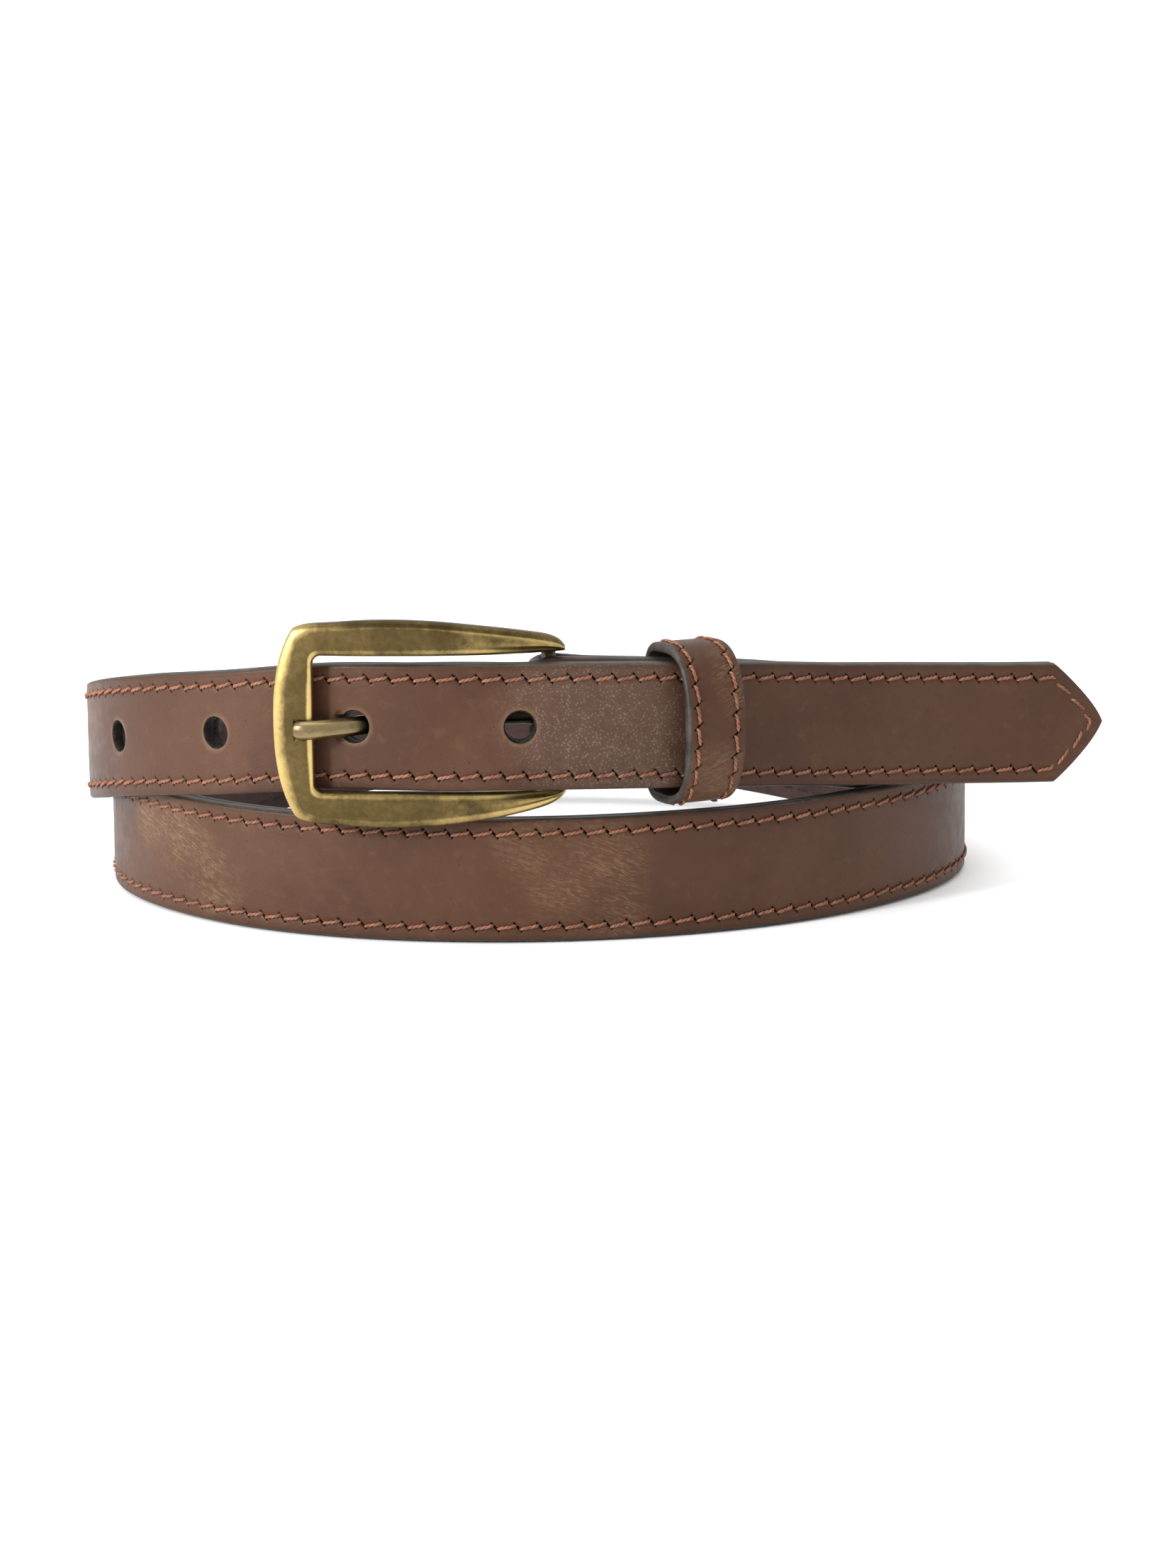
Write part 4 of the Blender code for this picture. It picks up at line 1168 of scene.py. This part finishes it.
def make_prong():
    prong = link("buckle_prong", prong_mesh("prong", prong_line()), (prong_brass,))
    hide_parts("prong")
    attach(prong, "prong")


def make_bar():
    matrix = Matrix.Translation(Vector(bar_centre()))
    upper = [(BAR_RADIUS, BAR_HALF_LENGTH - 0.15), (BAR_RADIUS - 0.15, BAR_HALF_LENGTH)]
    profile = [(radius, -height) for radius, height in upper[::-1]] + upper
    bar = link("steel_heel_bar", turned_mesh("bar", profile, matrix), (bar_steel,))
    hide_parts("heel_bar")
    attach(bar, "buckle")


# ---------------- rivets


def make_rivets():
    """Domed heads on both sides of the turn-back, with the screw's slot outside."""
    low = -TURN_BACK_OFFSET - 0.4
    screw = [(0.9, -3.0), (0.9, 0.4), (2.6, 0.4), (2.78, 0.5), (2.8, 0.66), (2.6, 0.8), (2.0, 0.9)]
    dome = ((0.6, 0.55), (2.0, 0.5), (2.6, 0.38), (2.8, 0.24), (2.78, 0.08), (2.6, 0.0), (1.8, 0.0))
    post = [(radius, low - height) for radius, height in dome]
    profiles = {
        "screw": screw + [(0.6, 0.95)],
        "post": post + [(1.8, 0.0), (1.3, 0.0), (1.3, low + 0.2)],
    }
    for number, distance in enumerate(RIVET_DISTANCES, start=1):
        matrix = grain_axes(distance)
        for kind, profile in profiles.items():
            head = link(f"brass_{kind}_{number}", turned_mesh(kind, profile, matrix), (rivet_brass,))
            if kind == "screw":
                driver = box_mesh("driver", matrix, (-3.2, -0.35, 0.6), (3.2, 0.35, 1.6))
                cutter = add_cutter("cut_driver", driver)
                cut(head, cutter)
                settle(head, cutter)
            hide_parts(f"rivet_{kind}_{number}")
            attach(head, "strap")


# ---------------- keeper


class Keeper:
    """The keeper's section, by distance round its outside from its butt joint."""

    def __init__(self):
        place, self.along, self.inwards = route.at(route.length - KEEPER_TO_TIP)
        self.centre = place + UP * HALF_WIDTH + self.inwards * (LAYER_STEP + TURN_BACK_OFFSET) / 2
        opening = math.asin(KEEPER_JOINT / KEEPER_OUTER[1][1])
        turns = np.linspace(opening, 2 * math.pi - opening, 1500)
        self.outer = np.array([self.reach(KEEPER_OUTER, turn) for turn in turns])
        self.inner = np.array([self.reach(KEEPER_INNER, turn) for turn in turns])
        lengths = np.linalg.norm(np.diff(self.outer, axis=0), axis=1)
        self.steps = np.concatenate(([0.0], np.cumsum(lengths)))
        self.length = self.steps[-1]

    def reach(self, shape, turn):
        deep, high, squareness = shape[1 if math.cos(turn) > 0 else 0]
        across = abs(math.cos(turn) / deep) ** squareness
        upright = abs(math.sin(turn) / high) ** squareness
        scale = (across + upright) ** (-1 / squareness)
        return math.cos(turn) * scale, math.sin(turn) * scale

    def section(self, travel, outline):
        return np.array([np.interp(travel, self.steps, outline[:, i]) for i in range(2)])

    def out(self, travel):
        ahead = self.section(travel + 0.3, self.outer) - self.section(travel - 0.3, self.outer)
        ahead /= np.linalg.norm(ahead)
        return np.array((ahead[1], -ahead[0]))

    def place(self, across, flat):
        return self.centre + self.inwards * flat[0] + UP * flat[1] + self.along * across

    def surface(self, travel, across, height):
        out = self.out(travel)
        point = self.place(across, self.section(travel, self.outer) + out * height)
        return point, self.inwards * out[0] + UP * out[1]


def keeper_rows():
    """(across, depth from the grain) over the keeper's outside and rounded rims."""
    half = KEEPER_WIDTH / 2
    near = (0.0, 0.9, 1.8, 2.3, 2.55, 2.75, 2.95, 3.12, 3.3, 3.48, 3.65, 3.85, 4.05, 4.3, 4.55)
    front = [(-v, 0.0) for v in near[:0:-1]] + [(v, 0.0) for v in near]
    rim = [(half - 0.26, 0.04), (half - 0.1, 0.16), (half - 0.01, 0.36)]
    return [(-v, d) for v, d in rim[::-1]] + front + rim


def keeper_travels(keeper):
    """Distances round the keeper, set close where the two seams' slits are."""
    step = KEEPER_PITCH / 2
    travels = [0.0]
    for k in range(math.ceil(keeper.length / step) + 1):
        for shift in (-0.3, -0.18, -0.06, 0.06, 0.18, 0.3, 0.6, 0.85, 1.1):
            travels.append(k * step + shift)
    return [t for t in travels if 0.0 <= t < keeper.length - 0.1] + [keeper.length]


def keeper_phase(side):
    """Where the seam on that side starts, as part of a stitch."""
    return 0.5 if side > 0 else 0.0


def keeper_ring(keeper, travel):
    """(point, strap coordinates, mask) round the keeper's strip, there along it."""
    made = []
    inside = smooth(min(1.0, travel / 1.5, (keeper.length - travel) / 1.5))
    for across, depth in keeper_rows():
        side = 1 if across > 0 else -1
        to_seam = across - side * KEEPER_SEAM
        moved = travel + SLIT_SLANT * to_seam * slant_window(to_seam) * inside
        slit = slit_at(travel / KEEPER_PITCH + keeper_phase(side), KEEPER_PITCH, to_seam) * inside
        groove = 0.07 * math.exp(-((to_seam / 0.5) ** 2))
        flat = keeper.section(moved, keeper.outer) - keeper.out(moved) * (depth + groove + 0.5 * slit)
        # The mask's first number is the painted shade in the slits, its second how near the painted edge
        # the point is.
        mask = (min(1.0, slit * 2.2), smooth((abs(across) - 4.2) / 0.6))
        made.append((keeper.place(across, flat), (moved * MM, across * MM), mask))
    half = KEEPER_WIDTH / 2
    rim = [(half, 0.35), (half - 0.12, 0.1), (half - 0.35, 0.0)]
    for across, raised in rim + [(0.0, 0.0)] + mirrored(rim):
        flat = keeper.section(travel, keeper.inner) + keeper.out(travel) * raised
        made.append((keeper.place(across, flat), (travel * MM, across * MM), (0.0, 0.0)))
    return made


def make_keeper():
    """The loop as one strip round both layers of the strap, and its two seams."""
    keeper = Keeper()
    rings, uvs, masks = [], [], []
    for travel in keeper_travels(keeper):
        ring, uv, mask = zip(*keeper_ring(keeper, travel))
        rings.append(ring)
        uvs.append(uv)
        masks.append(mask)
    slots = [1] * 3 + [0] * (len(keeper_rows()) - 4) + [1] * 3 + [2] * 2 + [1] * 3
    mesh = grid_mesh("keeper", rings, uv=uvs, masks=masks, slots=slots)
    loop = link("keeper_loop", mesh, (keeper_grain, painted, lining_leather))
    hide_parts("keeper_face", "keeper_lining")
    pile = ThreadPile()
    for side in (-1, 1):
        first = keeper_phase(side) * KEEPER_PITCH
        for k in range(1, math.floor((keeper.length - first) / KEEPER_PITCH) - 1):
            place = (first + k * KEEPER_PITCH, side * KEEPER_SEAM, KEEPER_PITCH)
            one_stitch(pile, keeper.surface, *place, k + side * 0.21, **KEEPER_THREAD)
    stitches = link("keeper_stitches", pile.mesh("keeper_stitches"), (rust_thread,))
    for obj in (loop, stitches):
        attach(obj, "keeper")


make_strap()
make_seams()
make_frame()
make_prong()
make_bar()
make_rivets()
make_keeper()
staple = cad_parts["keeper_staple"]
staple.data.materials.clear()
staple.data.materials.append(bar_steel)

# ---------------- camera and light

CAMERA_PLACE = (0.00005, -0.64366, 0.12995)
CAMERA_DOWN = 10.251
CAMERA_ROLL = -0.558
CAMERA_LENS = 89.82
WORLD_STRENGTH = 1.06
FLOOR_HALF = 6.0  # metres
FLOOR_DROP = 0.0003  # below the strap, so that they don't share a plane
camera_data = bpy.data.cameras.new("camera")
camera_data.sensor_width = 36.0
camera_data.lens = CAMERA_LENS
camera_data.clip_start = 0.01
camera = bpy.data.objects.new("camera", camera_data)
bpy.context.scene.collection.objects.link(camera)
camera.matrix_world = (
    Matrix.Translation(CAMERA_PLACE)
    @ Matrix.Rotation(math.radians(90 - CAMERA_DOWN), 4, "X")
    @ Matrix.Rotation(math.radians(CAMERA_ROLL), 4, "Z")
)
bpy.context.scene.camera = camera


def area_light(name, place, target, size, power):
    data = bpy.data.lights.new(name, "AREA")
    data.shape = "RECTANGLE"
    data.size, data.size_y = size
    data.energy = power
    obj = bpy.data.objects.new(name, data)
    bpy.context.scene.collection.objects.link(obj)
    direction = Vector(target) - Vector(place)
    obj.matrix_world = Matrix.Translation(place) @ direction.to_track_quat("-Z", "Y").to_matrix().to_4x4()


area_light("side", (-0.76, -0.25, 0.32), (0, 0, 0.03), (0.45, 0.5), 3.8)
area_light("key", (-0.6, -0.52, 0.3), (0, -0.03, 0.03), (0.12, 0.14), 5.0)
area_light("top_softbox", (0.0, 0.05, 0.9), (0, 0, 0), (0.8, 0.6), 3.0)

world = bpy.data.worlds.new("studio")
bpy.context.scene.world = world
world.use_nodes = True
background = world.node_tree.nodes["Background"]
background.inputs["Color"].default_value = (1.0, 1.0, 1.0, 1.0)
background.inputs["Strength"].default_value = WORLD_STRENGTH
bpy.context.scene.view_settings.view_transform = "Standard"

floor_shader = Shader("floor", Roughness=0.9, Specular_IOR_Level=0.1)
floor_shader.bsdf.inputs["Base Color"].default_value = (0.97, 0.97, 0.97, 1.0)
floor_mesh = bpy.data.meshes.new("floor")
corners = [(x * FLOOR_HALF, y * FLOOR_HALF, -FLOOR_DROP) for x, y in ((-1, -1), (1, -1), (1, 1), (-1, 1))]
floor_mesh.from_pydata(corners, [], [(0, 1, 2, 3)])
link("floor", floor_mesh, (floor_shader.material,))
